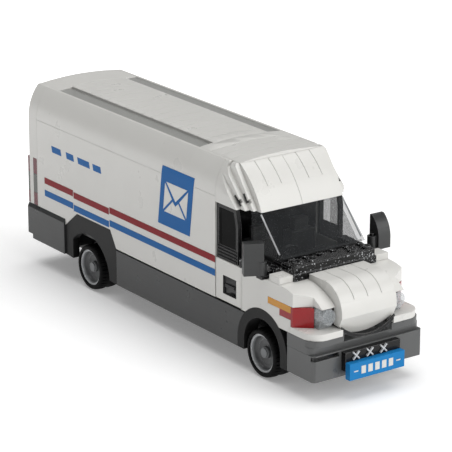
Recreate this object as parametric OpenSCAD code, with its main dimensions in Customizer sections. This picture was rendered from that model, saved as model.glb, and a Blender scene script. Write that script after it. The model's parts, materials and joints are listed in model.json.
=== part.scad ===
// High-roof mail delivery van, built from interlocking toy bricks on an 8 mm stud pitch.
// +Z is up and the ground is z = 0. The front faces -Y, so the van's left side is +X.
// Stations along the van are counted from the bumper's front face towards the rear, and
// on_frame() moves them so that the origin is the middle of the van's footprint.

/* [Overall] */
// Length from the bumper's front face to the rear face
body_len = 248; // [206:1:298]
// Width over the side panels
body_w = 64; // [53:0.5:77]
// Height of the roof's edge above the ground
roof_z = 96.8; // [88:0.1:116]
// Height of the roof's middle above its edge
roof_crown = 1.6; // [0.5:0.1:3]
// Thickness of one plate layer
plate_h = 3.2; // [3:0.1:3.4]
// Height of the lowest layer of the bodywork
base_z = 10.4; // [9.5:0.1:11]

/* [Wheels] */
// Station of the front axle
front_axle_y = 41; // [40:0.5:43]
// Distance from the rear axle to the rear face
rear_overhang = 58; // [54:1:70]
// Outer diameter of a tyre
tyre_d = 24; // [20:0.5:25]
// Width of a tyre
tyre_w = 13.2; // [11:0.1:14]
// Outer diameter of a hub's rim
rim_d = 19; // [15.9:0.1:19.5]
// Width of a hub's rim
rim_w = 11.6; // [10:0.1:12.5]
// Gap from a tyre's outer wall to the body's side plane
tyre_inset = 0.6; // [0.4:0.1:2]
// Diameter of an axle
axle_d = 4.8; // [4:0.1:5.8]
// Radial clearance of an axle in its holder
axle_clear = 0.05; // [0.02:0.01:0.1]

/* [Body] */
// Thickness of the cargo walls
wall_t = 4; // [3.4:0.1:4.8]
// Height of the roof slope, from the long seam up to the roof's edge
slope_h = 16.8; // [14:0.1:18]
// How far the roof slope leans in
slope_in = 6.4; // [5.4:0.1:7.6]
// Width of each roof edge outside the flat deck
edge_w = 8; // [7.6:0.1:8.8]
// Width of each grille strip on the roof
strip_w = 8; // [6:0.1:9]
// Station where the cargo walls begin
cargo_y = 77; // [77:0.5:82]
// Depth of the frame around the rear doors
portal_d = 8; // [7:0.1:9.6]
// Depth of the lamps and the skirt behind that frame
tail_d = 1.6; // [1.6:0.1:2]
// Height of the panel above the rear doors
portal_header = 12.4; // [12.4:0.1:14]

/* [Cab] */
// Height of the header above the windscreen
header_h = 20; // [18:0.1:20]
// Station of the header's lower edge
header_y = 51; // [50:0.5:52]
// Station of the ridge where header and roof meet
ridge_y = 68; // [66:0.5:70]
// Radius of the header's curve
header_r = 44; // [38:1:60]
// Height of the side windows' sill
sill_z = 50; // [49.4:0.1:50.4]
// Thickness of a cab door
cab_door_t = 3.6; // [3:0.1:3.8]
// Station of a cab door's front edge
cab_door_y = 55.4; // [55.2:0.1:56]
// Thickness of the window panes
pane_t = 1.6; // [1.3:0.1:2]
// Height of the cowl's top
cowl_z = 57; // [55.2:0.1:58]

/* [Front] */
// Width of each fender, from the bonnet out to the side
fender_w = 16; // [15:0.1:17]
// Height of the bonnet's flat rear end
bonnet_z = 53; // [51:0.1:54]
// Station of the bonnet's rear edge
bonnet_y = 24.8; // [24:0.1:26]
// Radius of the bonnet's front curve
bonnet_r = 13.4; // [11.2:0.1:14]
// Depth of the bumper's front beam
bumper_d = 8; // [6.7:0.1:9]
// Station where the bumper's side returns end
bumper_end = 20; // [18:0.1:20.2]
// Width of the number plate
number_w = 32; // [26.7:0.1:38.4]
// Height of the number plate
number_h = 8; // [6.7:0.1:9]
// Depth of the headlamps
lamp_d = 6; // [5:0.1:7.2]

/* [Hinges] */
// Diameter of the door hinge pins
pin_d = 2; // [1.7:0.1:2.4]
// Length of a hinge pin beyond its door
pin_len = 2.4; // [2:0.1:2.8]
// Radial clearance of a hinge pin in its hole
pin_clear = 0.05; // [0.02:0.01:0.1]
// Thickness of a rear door
rear_door_t = 3.2; // [2.7:0.1:3.84]
// Gap around each door
door_gap = 0.4; // [0.3:0.05:0.5]
// Diameter of the mirror pins
mirror_pin_d = 2.4; // [2:0.1:2.88]

/* [Hidden] */

right = -1;
left = 1;
eps = 0.02;
fine = 64;
fit_gap = 0.05;
panel_gap = 0.2;
pitch = 8;

function layer(n) = base_z + n * plate_h;

// Places shared by several pieces
half_w = body_w / 2;
number_out = 2 * plate_h;
mid_y = (body_len - number_out) / 2;
axle_z = tyre_d / 2;
rear_axle_y = body_len - rear_overhang;
inner_w = half_w - wall_t;
deck_half = half_w - edge_w;
bonnet_half = half_w - fender_w;
slope_r = (slope_in * slope_in + slope_h * slope_h) / (2 * slope_in);
seam_z = roof_z - slope_h;
window_top = roof_z - header_h;
floor_top = layer(6);
floor_bottom = layer(5);
tail_y = body_len - tail_d;
portal_y = tail_y - portal_d;
deck_bottom = roof_z - plate_h;
deck_base = deck_bottom - 2.4;

// Stations where the front's layers end, one behind the other
lip_back = 18;
fender_back = 26;
cowl_back = 36;
fender_z = layer(12) + plate_h / 2;

// Wheel arches
arch_in_r = tyre_d / 2 + 2.2;
arch_out_r = arch_in_r + 5;
arch_y = front_axle_y - 1.5;
arch_z = axle_z + 3.5;
rear_arch_r = tyre_d / 2 + 8;
rear_arch_z = axle_z - 2;
rear_arch_top = layer(9) - 0.8;
rear_arch_front = rear_axle_y - 26.6;
rear_arch_foot = rear_axle_y + 16;
rear_arch_leg = 5.6;
skirt_top = floor_top - 0.8;

// Moves a piece from its station to the shared frame
module on_frame() {
  translate([0, -mid_y, 0]) children();
}

// Mirrors a piece that is drawn on the left side to the side asked for
module on_side(side) {
  if (side < 0) mirror([1, 0, 0]) children();
  else children();
}

module both_sides() {
  children();
  mirror([1, 0, 0]) children();
}

// A box from its low corner to its high corner
module block(low, high) {
  translate(low) cube(high - low);
}

// Extrudes an outline of [station, height] points across the van from x1 to x2
module across(x1, x2) {
  translate([x1, 0, 0])
    rotate([90, 0, 90]) linear_extrude(x2 - x1) children();
}

// Extrudes an outline of [x, height] points along the van from y1 to y2
module along(y1, y2) {
  translate([0, y2, 0])
    rotate([90, 0, 0]) linear_extrude(y2 - y1) children();
}

// A cylinder that lies across the van
module cross_cylinder(r, x1, x2) {
  translate([x1, 0, 0]) rotate([0, 90, 0]) cylinder(r = r, h = x2 - x1, $fn = fine);
}

// Cross-section of the body: upright sides, then an arc that leans in up to the roof's edge
module body_outline(grow) {
  arc_x = half_w - slope_r;
  intersection() {
    union() {
      translate([-half_w - grow, 0]) square([body_w + 2 * grow, seam_z]);
      for (side = [right, left])
        translate([side * arc_x, seam_z]) circle(slope_r + grow, $fn = 180);
      translate([-arc_x, 0]) square([2 * arc_x, roof_z]);
    }
    translate([-body_w, 0]) square([2 * body_w, roof_z + grow]);
  }
}

// Region under the crowned roof, of the given half width at the roof's edge
module crown_outline(half) {
  crown_r = (half * half + roof_crown * roof_crown) / (2 * roof_crown);
  intersection() {
    translate([-half, 0]) square([2 * half, roof_z + roof_crown]);
    translate([0, roof_z + roof_crown - crown_r]) circle(crown_r, $fn = 180);
  }
}

/* Rolling gear */

module axle(station) {
  color("#8a8d90") on_frame() translate([0, station, axle_z]) {
    axle_half = half_w - tyre_inset - (tyre_w - rim_w) / 2 - 0.8;
    cross_cylinder(axle_d / 2, -axle_half, axle_half);
  }
}

// Dished hub: outer rim, web, centre boss and a ring of lightening holes
module hub(station, side) {
  rim_out = half_w - tyre_inset - (tyre_w - rim_w) / 2;
  rim_in = rim_out - rim_w;
  rim_r = rim_d / 2;
  dish_r = rim_r - 1.4;
  dish = 3.4;
  color("#8c8f92") on_frame() on_side(side) translate([0, station, axle_z])
    difference() {
      union() {
        cross_cylinder(rim_r, rim_in, rim_in + 1);
        cross_cylinder(rim_r - 0.6, rim_in + 1, rim_out - 1);
        cross_cylinder(rim_r, rim_out - 1, rim_out);
      }
      difference() {
        cross_cylinder(dish_r, rim_out - dish, rim_out + 1);
        cross_cylinder(axle_d / 2 + 1.6, rim_out - dish - eps, rim_out - 1.2);
      }
      difference() {
        cross_cylinder(dish_r, rim_in - 1, rim_in + dish);
        cross_cylinder(axle_d / 2 + 1.6, rim_in, rim_in + dish + eps);
      }
      cross_cylinder(axle_d / 2 + fit_gap, rim_in - 1, rim_out + 1);
    }
}

// Tyre: rounded shoulders outside, and inside it drops between the rim's two flanges
module tyre(station, side) {
  outer = half_w - tyre_inset;
  shoulder = 1.8;
  tyre_r = tyre_d / 2;
  rim_r = rim_d / 2;
  flange_in = (tyre_w - rim_w) / 2 + 1 + fit_gap;
  color("#2b2b2c") on_frame() on_side(side)
    translate([outer - tyre_w, station, axle_z]) rotate([0, 90, 0])
      rotate_extrude($fn = fine) {
        difference() {
          union() {
            square([tyre_r - shoulder, tyre_w]);
            translate([0, shoulder]) square([tyre_r, tyre_w - 2 * shoulder]);
            for (y = [shoulder, tyre_w - shoulder])
              translate([tyre_r - shoulder, y]) circle(shoulder, $fn = 48);
          }
          translate([-tyre_r, -1]) square([tyre_r + rim_r + fit_gap, tyre_w + 2]);
        }
        translate([rim_r - 0.6 + fit_gap, flange_in]) square([1, tyre_w - 2 * flange_in]);
      }
}

/* Chassis */

// Hinge pin holes shared by the chassis and the frame around the rear doors
rear_hinge_x = inner_w - 0.8 - rear_door_t / 2 - door_gap;
rear_hinge_y = tail_y - rear_door_t / 2;

module rear_pin_holes(z, h) {
  both_sides() translate([rear_hinge_x, rear_hinge_y, z])
    cylinder(r = pin_d / 2 + pin_clear, h = h, $fn = fine);
}

module chassis_frame() {
  spine_half = half_w - tyre_inset - tyre_w - 4;
  field_half = inner_w - 1;
  hole_depth = pin_len + 0.2;
  color("#3f4144") on_frame() difference() {
    union() {
      block([-spine_half, bumper_d, layer(2)], [spine_half, portal_y, layer(4)]);
      block([-spine_half, bumper_end, layer(4)], [spine_half, portal_y, floor_bottom]);
      block([-deck_half, bumper_end, floor_bottom], [deck_half, cab_door_y + 4, floor_top]);
      block([-inner_w, cab_door_y + 4, floor_bottom], [inner_w, tail_y, floor_top]);
      block([-inner_w + eps, rear_axle_y + rear_arch_r, layer(2)],
            [inner_w - eps, portal_y, floor_bottom]);
      // Raised field of the load floor, clear of the walls, the doors and their pins
      block([-field_half, cargo_y + 3.2, floor_top - eps],
            [field_half, portal_y, floor_top + 0.3]);
      block([-bonnet_half + 1.6, bumper_d + 1.2, floor_top],
            [bonnet_half - 1.6, bonnet_y - 0.8, layer(10)]);
    }
    rear_pin_holes(floor_top - hole_depth, hole_depth + 1);
  }
}

module axle_holders() {
  holder_half = half_w - tyre_inset - tyre_w - 5.4;
  color("#36383a") on_frame() for (station = [front_axle_y, rear_axle_y])
    difference() {
      block([-holder_half, station - 5.6, axle_z - 4.4], [holder_half, station + 5.6, layer(2)]);
      translate([0, station, axle_z])
        cross_cylinder(axle_d / 2 + axle_clear, -body_w, body_w);
    }
}

// Blind hole in the skirt's top for the cab door's lower pin
cab_hinge_x = half_w - 0.2 - cab_door_t / 2;
cab_hinge_y = cab_door_y + cab_door_t / 2;

module side_skirt(side) {
  color("#484a4c") on_frame() on_side(side) difference() {
    union() {
      block([inner_w, arch_y, base_z], [half_w, rear_arch_front - fit_gap, skirt_top]);
      block([half_w - pitch, arch_y, base_z],
            [inner_w, rear_arch_front - fit_gap, base_z + 2 * plate_h]);
    }
    translate([0, arch_y, arch_z]) cross_cylinder(arch_out_r + fit_gap, 0, body_w);
    block([0, 0, 0], [body_w, arch_y + arch_out_r + fit_gap, arch_z]);
    translate([cab_hinge_x, cab_hinge_y, skirt_top - pin_len])
      cylinder(r = pin_d / 2 + pin_clear, h = pin_len + 1, $fn = fine);
  }
}

// Two corner boxes with a bevelled top edge, and the step between them
module rear_skirt() {
  bottom = base_z + plate_h;
  ledge = 1;
  corner_len = 4.5;
  corner_h = 2.4;
  color("#404244") on_frame() {
    // Sides stand proud of the wall and end in a slope against it
    both_sides() difference() {
      along(rear_arch_foot + rear_arch_leg + fit_gap, body_len)
        polygon([
          [inner_w, bottom], [half_w + ledge, bottom], [half_w + ledge, floor_top + ledge],
          [half_w, floor_top + plate_h], [half_w, floor_top], [inner_w, floor_top]
        ]);
      block([0, body_len - corner_len, 0], [body_w, body_len + 1, bottom + corner_h]);
    }
    block([-inner_w + fit_gap, portal_y + fit_gap, bottom],
          [inner_w - fit_gap, body_len, floor_bottom]);
  }
}

// Round arch with straight legs
module front_arch(side) {
  color("#2e2d2c") on_frame() on_side(side) across(half_w - pitch, half_w)
    difference() {
      union() {
        translate([arch_y, arch_z]) circle(arch_out_r, $fn = fine);
        translate([arch_y - arch_out_r, base_z])
          square([2 * arch_out_r, arch_z - base_z]);
      }
      translate([arch_y, arch_z]) circle(arch_in_r, $fn = fine);
      translate([arch_y - arch_in_r, 0]) square([2 * arch_in_r, arch_z]);
      translate([0, base_z - body_len]) square(body_len);
    }
}

// Outline of the rear arch's plate, without the wheel opening
module rear_arch_outline() {
  polygon([
    [rear_arch_front, base_z], [rear_arch_front, floor_top],
    [rear_arch_front + 5.4, rear_arch_top], [rear_arch_foot - rear_arch_leg, rear_arch_top],
    [rear_arch_foot + rear_arch_leg, floor_top],
    [rear_arch_foot + rear_arch_leg, base_z + plate_h]
  ]);
}

module rear_arch(side) {
  color("#343536") on_frame() on_side(side) across(inner_w, half_w)
    difference() {
      rear_arch_outline();
      intersection() {
        translate([rear_axle_y, rear_arch_z]) circle(rear_arch_r, $fn = fine);
        square([rear_arch_foot - 1.4, body_len]);
      }
      translate([rear_arch_front + 6, 0])
        square([rear_arch_foot - 1.4 - rear_arch_front - 6, rear_arch_z]);
    }
}

/* Front end */

corner_r = 4;

// Plan outline of a front corner piece: one rounded corner at the front, on the left side
module corner_plan(x1, front, back, r) {
  difference() {
    translate([x1, front]) square([half_w - x1, back - front]);
    translate([half_w - r, front - eps]) square([r + eps, r + eps]);
  }
  intersection() {
    translate([half_w - r, front + r]) circle(r, $fn = fine);
    translate([x1, front]) square([half_w - x1, back - front]);
  }
}

module bumper() {
  slot_h = 2.6;
  color("#5b5d5e") on_frame() difference() {
    union() {
      block([-half_w, 0, base_z], [half_w, bumper_d, layer(4)]);
      both_sides() block([half_w - pitch, bumper_d - eps, base_z], [half_w, bumper_end, layer(4)]);
    }
    // Long slot at the right-hand corner
    block([-half_w - 1, -1, layer(4) - slot_h], [-half_w + 15, 2.4, layer(4) - 0.5]);
    // Front corners are slightly bevelled
    both_sides() translate([half_w, 0, 0]) rotate([0, 0, 45])
      translate([-1, -1, 0]) cube([2, 2, roof_z]);
  }
}

// Two grey layers on the bumper, open in the middle under the bonnet, with two wedges there
module bumper_top_plates() {
  wedge_in = 9.6;
  color("#6d6f70") on_frame() {
    translate([0, 0, layer(4)]) linear_extrude(plate_h)
      both_sides() corner_plan(-eps, 1.6, bumper_end, corner_r);
    translate([0, 0, floor_bottom]) linear_extrude(plate_h) both_sides() {
      corner_plan(bonnet_half - 2, 0.8, bumper_end, corner_r + 2);
      polygon([
        [bonnet_half - 2 + eps, 1.6], [wedge_in, bumper_d], [bonnet_half - 2 + eps, bumper_d]
      ]);
      translate([-eps, bumper_d - eps]) square([bonnet_half, bumper_end - bumper_d]);
    }
  }
}

module plate_bracket() {
  color("#1c1c1d") on_frame()
    block([-number_w / 2, -plate_h, layer(1)], [number_w / 2, 0, layer(4) - 0.4]);
}

// Row of thin crosses above the number plate
module grille_lattice() {
  low = base_z + number_h + 0.3;
  high = layer(4) - 0.4;
  bar = 0.7;
  lean = 45;
  cell = number_w / 4;
  color("#b9bcbe") on_frame() for (i = [0 : 2]) {
    x = -number_w / 2 + (i + 0.7) * cell;
    translate([x, 0, (low + high) / 2]) for (turn = [-lean, lean])
      along(-plate_h - 0.9, -plate_h)
        rotate(turn) square([bar, (high - low) / cos(lean) - bar], center = true);
  }
}

module number_plate() {
  color("#2f86bd") on_frame()
    block([-number_w / 2, -number_out, base_z - 0.2],
          [number_w / 2, -plate_h, base_z - 0.2 + number_h]);
}

// Curved white plate under each headlamp
module lip_plates() {
  color("#e8e7e6") on_frame() both_sides()
    translate([0, 0, floor_top]) linear_extrude(plate_h)
      corner_plan(bonnet_half - 1.2, 0.4, lip_back, 2 * corner_r);
}

// Side outline of the bonnet's top: flat, then an arc down to an upright front
module bonnet_side(inset) {
  front_y = bonnet_y - 24.8 + inset;
  arc_y = front_y + bonnet_r - inset;
  difference() {
    intersection() {
      union() {
        translate([arc_y, bonnet_z - bonnet_r]) circle(bonnet_r - inset, $fn = fine);
        translate([arc_y, 0]) square([bonnet_y - arc_y, bonnet_z - inset]);
        translate([front_y, 0]) square([bonnet_r, bonnet_z - bonnet_r]);
      }
      translate([front_y, 0]) square([bonnet_y - front_y, bonnet_z]);
    }
    polygon([[front_y - 5, 0], [front_y - 5, 50], [front_y, 38 - inset], [front_y + 12, 15]]);
  }
}

// Shell with a lower front edge that curves like a smile
module bonnet() {
  shell = 4;
  side_t = 1.2;
  smile_low = 27.6;
  smile_rise = 6.4;
  smile_r = (bonnet_half * bonnet_half + smile_rise * smile_rise) / (2 * smile_rise);
  seam = 0.25;
  color("#e6e5e4") on_frame() difference() {
    intersection() {
      difference() {
        across(-bonnet_half, bonnet_half) bonnet_side(0);
        across(side_t - bonnet_half, bonnet_half - side_t)
          intersection() {
            bonnet_side(shell);
            translate([bumper_d - shell + 1, 0]) square([body_len, layer(12)]);
          }
      }
      along(-5, body_len) union() {
        translate([0, smile_low + smile_r]) circle(smile_r, $fn = fine);
        translate([-bonnet_half, smile_low + smile_r])
          square([2 * bonnet_half, bonnet_z]);
      }
    }
    block([-body_w, -5, 0], [body_w, bumper_d + 1, smile_low]);
    block([-body_w, bumper_d - 2, 0], [body_w, body_len, layer(10) + 0.2]);
    // Seams one stud apart, in the upper part only
    for (x = [-pitch, 0, pitch])
      across(x - seam / 2, x + seam / 2) difference() {
        translate([-5, layer(11)]) square([body_len, bonnet_z]);
        bonnet_side(0.35);
      }
  }
}

// Lamps and fender share these places. The red corner block's front runs askew, from the
// headlamp back to the side.
lamp_x = bonnet_half + pitch + 0.6;
amber_low = layer(9);
amber_high = layer(10);
block_front = 9.6;
block_side = 16;
block_back = 17.5;
block_low = layer(7);
amber_back = 35;
red_low_back = 26;

// Plan of the corner behind the askew front, grown by a gap
module corner_block_plan(x1, gap) {
  polygon([
    [x1 - gap, block_front - gap], [half_w + 1, block_side + 0.9 - gap],
    [half_w + 1, block_back + gap], [x1 - gap, block_back + gap]
  ]);
}

module lamp_cut(gap) {
  translate([0, 0, block_low - gap])
    linear_extrude(amber_high - block_low + 2 * gap) corner_block_plan(lamp_x, gap);
  block([half_w - 1.6 - gap, block_back, amber_low - gap],
        [half_w + 1, amber_back + gap, amber_high + gap]);
  block([half_w - 1.6 - gap, block_back, layer(8) - gap],
        [half_w + 1, red_low_back + gap, amber_low + gap]);
}

head_x1 = bonnet_half + 0.4;
head_x2 = bonnet_half + pitch - fit_gap;
head_front = 3;
head_box_front = 6.6;
head_back = head_box_front + lamp_d;
head_low = layer(7);
head_high = amber_high + 0.4;

// Outline of the fender's top: level at the cowl, then an arc that falls towards the front
module fender_side(front) {
  fall_r = 34.5;
  intersection() {
    union() {
      translate([fender_back, fender_z - fall_r]) circle(fall_r, $fn = 180);
      translate([fender_back, 0]) square([cowl_back - fender_back, fender_z]);
    }
    translate([front, 0]) square([cowl_back - front, body_len]);
  }
}

// Side of the van around the wheel, with a curved slope beside the bonnet
module fender(side) {
  mid_x = half_w - pitch;
  slope_front = 4.4;
  color("#e2e1df") on_frame() on_side(side) difference() {
    union() {
      // Curved slope beside the bonnet
      intersection() {
        across(bonnet_half + 0.1, mid_x) fender_side(slope_front);
        block([0, 0, head_high], [half_w, fender_back, fender_z + 1]);
      }
      block([bonnet_half + 0.1, head_back + 0.2, block_low], [mid_x, fender_back, head_high + 1]);
      block([bonnet_half + 0.1, lip_back + 0.1, floor_top], [mid_x, fender_back, block_low + 1]);
      // Slope over the corner lamp, cut askew in front
      intersection() {
        across(mid_x, half_w) fender_side(slope_front);
        union() {
          translate([0, 0, block_low]) linear_extrude(fender_z)
            polygon([
              [mid_x - 1, block_front + 1.6], [mid_x, block_front + 1.6],
              [half_w, block_side], [half_w, cowl_back], [mid_x - 1, cowl_back]
            ]);
          block([0, lip_back + 0.1, floor_top], [half_w, cowl_back, block_low + 1]);
        }
      }
      // Upright panel up to the cab door, and the ledge under the cowl
      block([inner_w, cowl_back - eps, floor_top], [half_w, cab_door_y - panel_gap, sill_z]);
      block([mid_x, fender_back, layer(11)],
            [inner_w + eps, cab_door_y - panel_gap, layer(12)]);
    }
    lamp_cut(fit_gap);
    translate([0, arch_y, arch_z]) cross_cylinder(arch_out_r + fit_gap, 0, body_w);
  }
}

// Clear box with a round lens in front
module headlamps() {
  centre_x = (head_x1 + head_x2) / 2;
  lens_r = 4;
  color("#c9cdd0") on_frame() both_sides() {
    block([head_x1, head_box_front, head_low], [head_x2, head_back, head_high - fit_gap]);
    translate([centre_x, head_box_front + eps, head_high - fit_gap - lens_r])
      rotate([90, 0, 0]) cylinder(r = lens_r, h = head_box_front - head_front, $fn = fine);
  }
}

module indicators() {
  color("#d98a1e") on_frame() both_sides()
    block([half_w - 1.6, block_back + fit_gap, amber_low], [half_w, amber_back, amber_high]);
}

module corner_lamps() {
  color("#b3121d") on_frame() both_sides() {
    intersection() {
      translate([0, 0, block_low])
        linear_extrude(amber_high - block_low) corner_block_plan(lamp_x, 0);
      block([0, 0, 0], [half_w, body_len, roof_z]);
    }
    block([half_w - 1.6, block_back - eps, layer(8)],
          [half_w, red_low_back, amber_low - fit_gap]);
  }
}

// One small tile on top of each fender
module fender_tiles() {
  color("#e9e8e7") on_frame() both_sides()
    block([half_w - pitch + panel_gap, fender_back + 0.1, fender_z],
          [half_w, fender_back + pitch, fender_z + plate_h]);
}

/* Cab */

cowl_front = bonnet_y + 0.4;
glass_half = deck_half;
hinge_lug_h = 3.2;

// Studded black strip under the windscreen, with a ledge along each side and a hinge lug
module cowl() {
  stud_d = 4.8;
  stud_h = 1.7;
  hole_depth = pin_len + 0.3;
  lug_low = sill_z + door_gap;
  color("#222324") on_frame() difference() {
    union() {
      block([-deck_half, cowl_front, fender_z + fit_gap],
            [deck_half, cowl_back, cowl_z - plate_h]);
      block([-deck_half, fender_back + fit_gap, floor_top + 10],
            [deck_half, cowl_back, fender_z + 2 * fit_gap]);
      block([-deck_half + 0.6, cowl_front + 0.6, cowl_z - plate_h - eps],
            [deck_half - 0.6, cowl_back, cowl_z]);
      for (i = [-2.5 : 1 : 2.5], row = [0, 1])
        if (row == 1 || abs(i) > 1)
          translate([i * pitch, cowl_front + 3.4 + 4.6 * row, cowl_z - eps])
            cylinder(d = row == 1 ? 3.2 : stud_d, h = stud_h, $fn = 32);
      both_sides() {
        block([deck_half - eps, fender_back + pitch + panel_gap, fender_z + fit_gap],
              [inner_w, cowl_back + panel_gap + eps, cowl_z - 2]);
        block([deck_half - eps, cowl_back + panel_gap, layer(12)],
              [inner_w, cab_door_y - 0.4, cowl_z - 2]);
        block([inner_w - eps, cab_door_y - 4.4, sill_z],
              [half_w - 0.6, cab_hinge_y - cab_door_t / 2 - door_gap, lug_low + hinge_lug_h]);
        block([inner_w, cab_hinge_y - cab_door_t, lug_low],
              [half_w - 0.6, cab_hinge_y, lug_low + hinge_lug_h]);
        translate([cab_hinge_x, cab_hinge_y, lug_low])
          cylinder(d = cab_door_t, h = hinge_lug_h, $fn = fine);
      }
    }
    both_sides() translate([cab_hinge_x, cab_hinge_y, lug_low - 1])
      cylinder(r = pin_d / 2 + pin_clear, h = hole_depth + 1 - door_gap, $fn = fine);
  }
}

wheel_x = -12;
wheel_y = 47.5;
wheel_z = 55;
wheel_tilt = 28;
column_d = 2.4;

// Fascia with the steering column's hole
module dashboard() {
  color("#2a2b2d") on_frame() difference() {
    union() {
      block([-deck_half + 0.6, cowl_back + fit_gap, floor_top + 10],
            [deck_half - 0.6, 42, cowl_z - 1]);
      block([-deck_half + 0.6, cowl_back + fit_gap, floor_top + 14],
            [deck_half - 0.6, 44.4, cowl_z - 6]);
      block([-6, 40, cowl_z - 1 - eps], [6, 42, cowl_z + 1.2]);
    }
    translate([wheel_x, wheel_y, wheel_z]) rotate([wheel_tilt + 90, 0, 0])
      cylinder(r = column_d / 2 + pin_clear, h = 9, $fn = fine);
  }
}

// Rim, spokes, boss and column in one piece, tilted towards the driver
module steering_wheel() {
  ring_r = 6;
  ring_d = 1.6;
  column_len = 6.5;
  color("#1f2022") on_frame() translate([wheel_x, wheel_y, wheel_z])
    rotate([wheel_tilt + 90, 0, 0]) {
      rotate_extrude($fn = fine) translate([ring_r, 0]) circle(ring_d / 2, $fn = 24);
      for (turn = [90, 210, 330]) rotate(turn)
        translate([0, -0.6, -0.5]) cube([ring_r, 1.2, 1]);
      translate([0, 0, -0.8]) cylinder(d = 3.6, h = 1.6, $fn = fine);
      cylinder(d = column_d, h = column_len, $fn = fine);
    }
}

// Two seats: cushion, back and headrest
module seats() {
  seat_w = 14;
  color("#55585b") on_frame() for (x = [-12, 12]) translate([x, 0, 0]) {
    block([-seat_w / 2, 55, floor_top], [seat_w / 2, 70, floor_top + 11]);
    block([-seat_w / 2, 66, floor_top + 11 - eps], [seat_w / 2, 72.6, floor_top + 28]);
    block([-4, 67.5, floor_top + 28 - eps], [4, 71.5, floor_top + 34]);
  }
}

glass_foot_y = 31.8;

// Raked pane with a side pane at each end
module windscreen() {
  top_y = header_y + 0.8;
  side_back = 58.8;
  top = window_top - 0.3;
  color("#3c4042", 0.55) on_frame() difference() {
    across(-glass_half, glass_half)
      polygon([
        [glass_foot_y, cowl_z + eps], [side_back, cowl_z + eps], [side_back, top], [top_y, top]
      ]);
    across(-glass_half + pane_t, glass_half - pane_t)
      polygon([
        [glass_foot_y + 2 * pane_t, cowl_z - 1], [side_back + 1, cowl_z - 1],
        [side_back + 1, top + 1], [top_y + 1.4 * pane_t + 0.8, top + 1]
      ]);
    block([-body_w, 0, 0], [body_w, cowl_back + 0.4, cowl_z + 2]);
  }
}

// Side outline of the header: the part of a disc in front of the ridge
module header_disc(inset) {
  dy = ridge_y - header_y;
  chord = sqrt(dy * dy + header_h * header_h);
  back = sqrt(header_r * header_r - chord * chord / 4);
  centre_y = (header_y + ridge_y) / 2 + back * header_h / chord;
  centre_z = (window_top + roof_z) / 2 - back * dy / chord;
  translate([centre_y, centre_z]) circle(header_r - inset, $fn = 180);
}

// One half of the curved header over the windscreen, with one-stud seams in its upper part
module visor(side) {
  shell = 3.6;
  seam = 0.25;
  color("#e9e8e7") on_frame() on_side(side) difference() {
    across(0.05, deck_half) difference() {
      intersection() {
        header_disc(0);
        translate([header_y - 1, window_top])
          square([ridge_y - header_y + 1 - fit_gap, header_h]);
      }
      header_disc(shell);
    }
    for (x = [pitch, 2 * pitch])
      across(x - seam / 2, x + seam / 2) difference() {
        translate([header_y, window_top + header_h / 2]) square([body_w, header_h]);
        header_disc(0.35);
      }
  }
}

// Stepped white pieces between the header and the cargo wall
module header_cheeks() {
  low = window_top + 0.5;
  back = cargo_y - fit_gap;
  slab = edge_w / 3;
  top = roof_z;
  color("#dddcd9") on_frame() both_sides() difference() {
    intersection() {
      union() {
        across(half_w - slab, half_w + 1)
          polygon([[back, low], [60, low], [back, low + 15.5]]);
        across(half_w - 2 * slab, half_w - slab + eps)
          polygon([[back, low], [56.5, low], [back - 2, top], [back, top]]);
        across(deck_half + fit_gap, half_w - 2 * slab + eps)
          polygon([[back, low], [53.6, low], [ridge_y + 1, top], [back, top]]);
      }
      along(0, body_len) body_outline(0);
    }
    // Slots between the slanted pieces
    for (i = [1, 2])
      translate([half_w - i * slab - 0.5, 56.5 + 3.4 * (2 - i), low + 4.6])
        rotate([-42, 0, 0]) cube([1.3, 5.4, 2], center = true);
    translate([0, ridge_y - 2, 0])
      block([deck_half, 6, deck_bottom + 0.8], [half_w, 8, roof_z + 1]);
    // Room for the roof slope's lining and the bulkhead
    along(cargo_y - 3, cargo_y) body_outline(-wall_t - 3);
  }
}

cab_door_back = cargo_y - door_gap;

// White lower panel with a rounded hinge edge and two pins, and a black window frame
module cab_door(side) {
  low = floor_top + 0.2;
  inner_x = half_w - 0.2 - cab_door_t;
  outer_x = half_w - 0.2;
  frame_x1 = inner_x + 0.6;
  frame_x2 = outer_x - 0.6;
  post_y = cab_hinge_y + cab_door_t / 2 + 0.8;
  top = window_top;
  color("#e0dfdd") on_frame() on_side(side) {
    difference() {
      union() {
        block([inner_x, cab_hinge_y, low], [outer_x, cab_door_back, sill_z]);
        translate([cab_hinge_x, cab_hinge_y, low])
          cylinder(d = cab_door_t, h = sill_z - low, $fn = fine);
        translate([cab_hinge_x, cab_hinge_y, low - pin_len + 0.8])
          cylinder(d = pin_d, h = sill_z - low + 2 * pin_len - 0.8, $fn = fine);
      }
      // Recessed handle
      block([outer_x - 1, cab_door_back - 16.4, sill_z - 16.6],
            [outer_x + 1, cab_door_back - 5.8, sill_z - 7.5]);
    }
    block([outer_x - 1 - eps, cab_door_back - 14.6, sill_z - 13],
          [outer_x - 0.1, cab_door_back - 7.4, sill_z - 11.4]);
    across(frame_x1, frame_x2) difference() {
      polygon([
        [post_y, sill_z - eps], [cab_door_back, sill_z - eps], [cab_door_back, top],
        [post_y + 2, top], [post_y, top - 8]
      ]);
      polygon([
        [post_y + 1.6, sill_z + 1], [cab_door_back - 1.6, sill_z + 1],
        [cab_door_back - 1.6, top - 1.6], [post_y + 3.2, top - 1.6], [post_y + 1.6, top - 8.4]
      ]);
    }
  }
}

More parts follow.
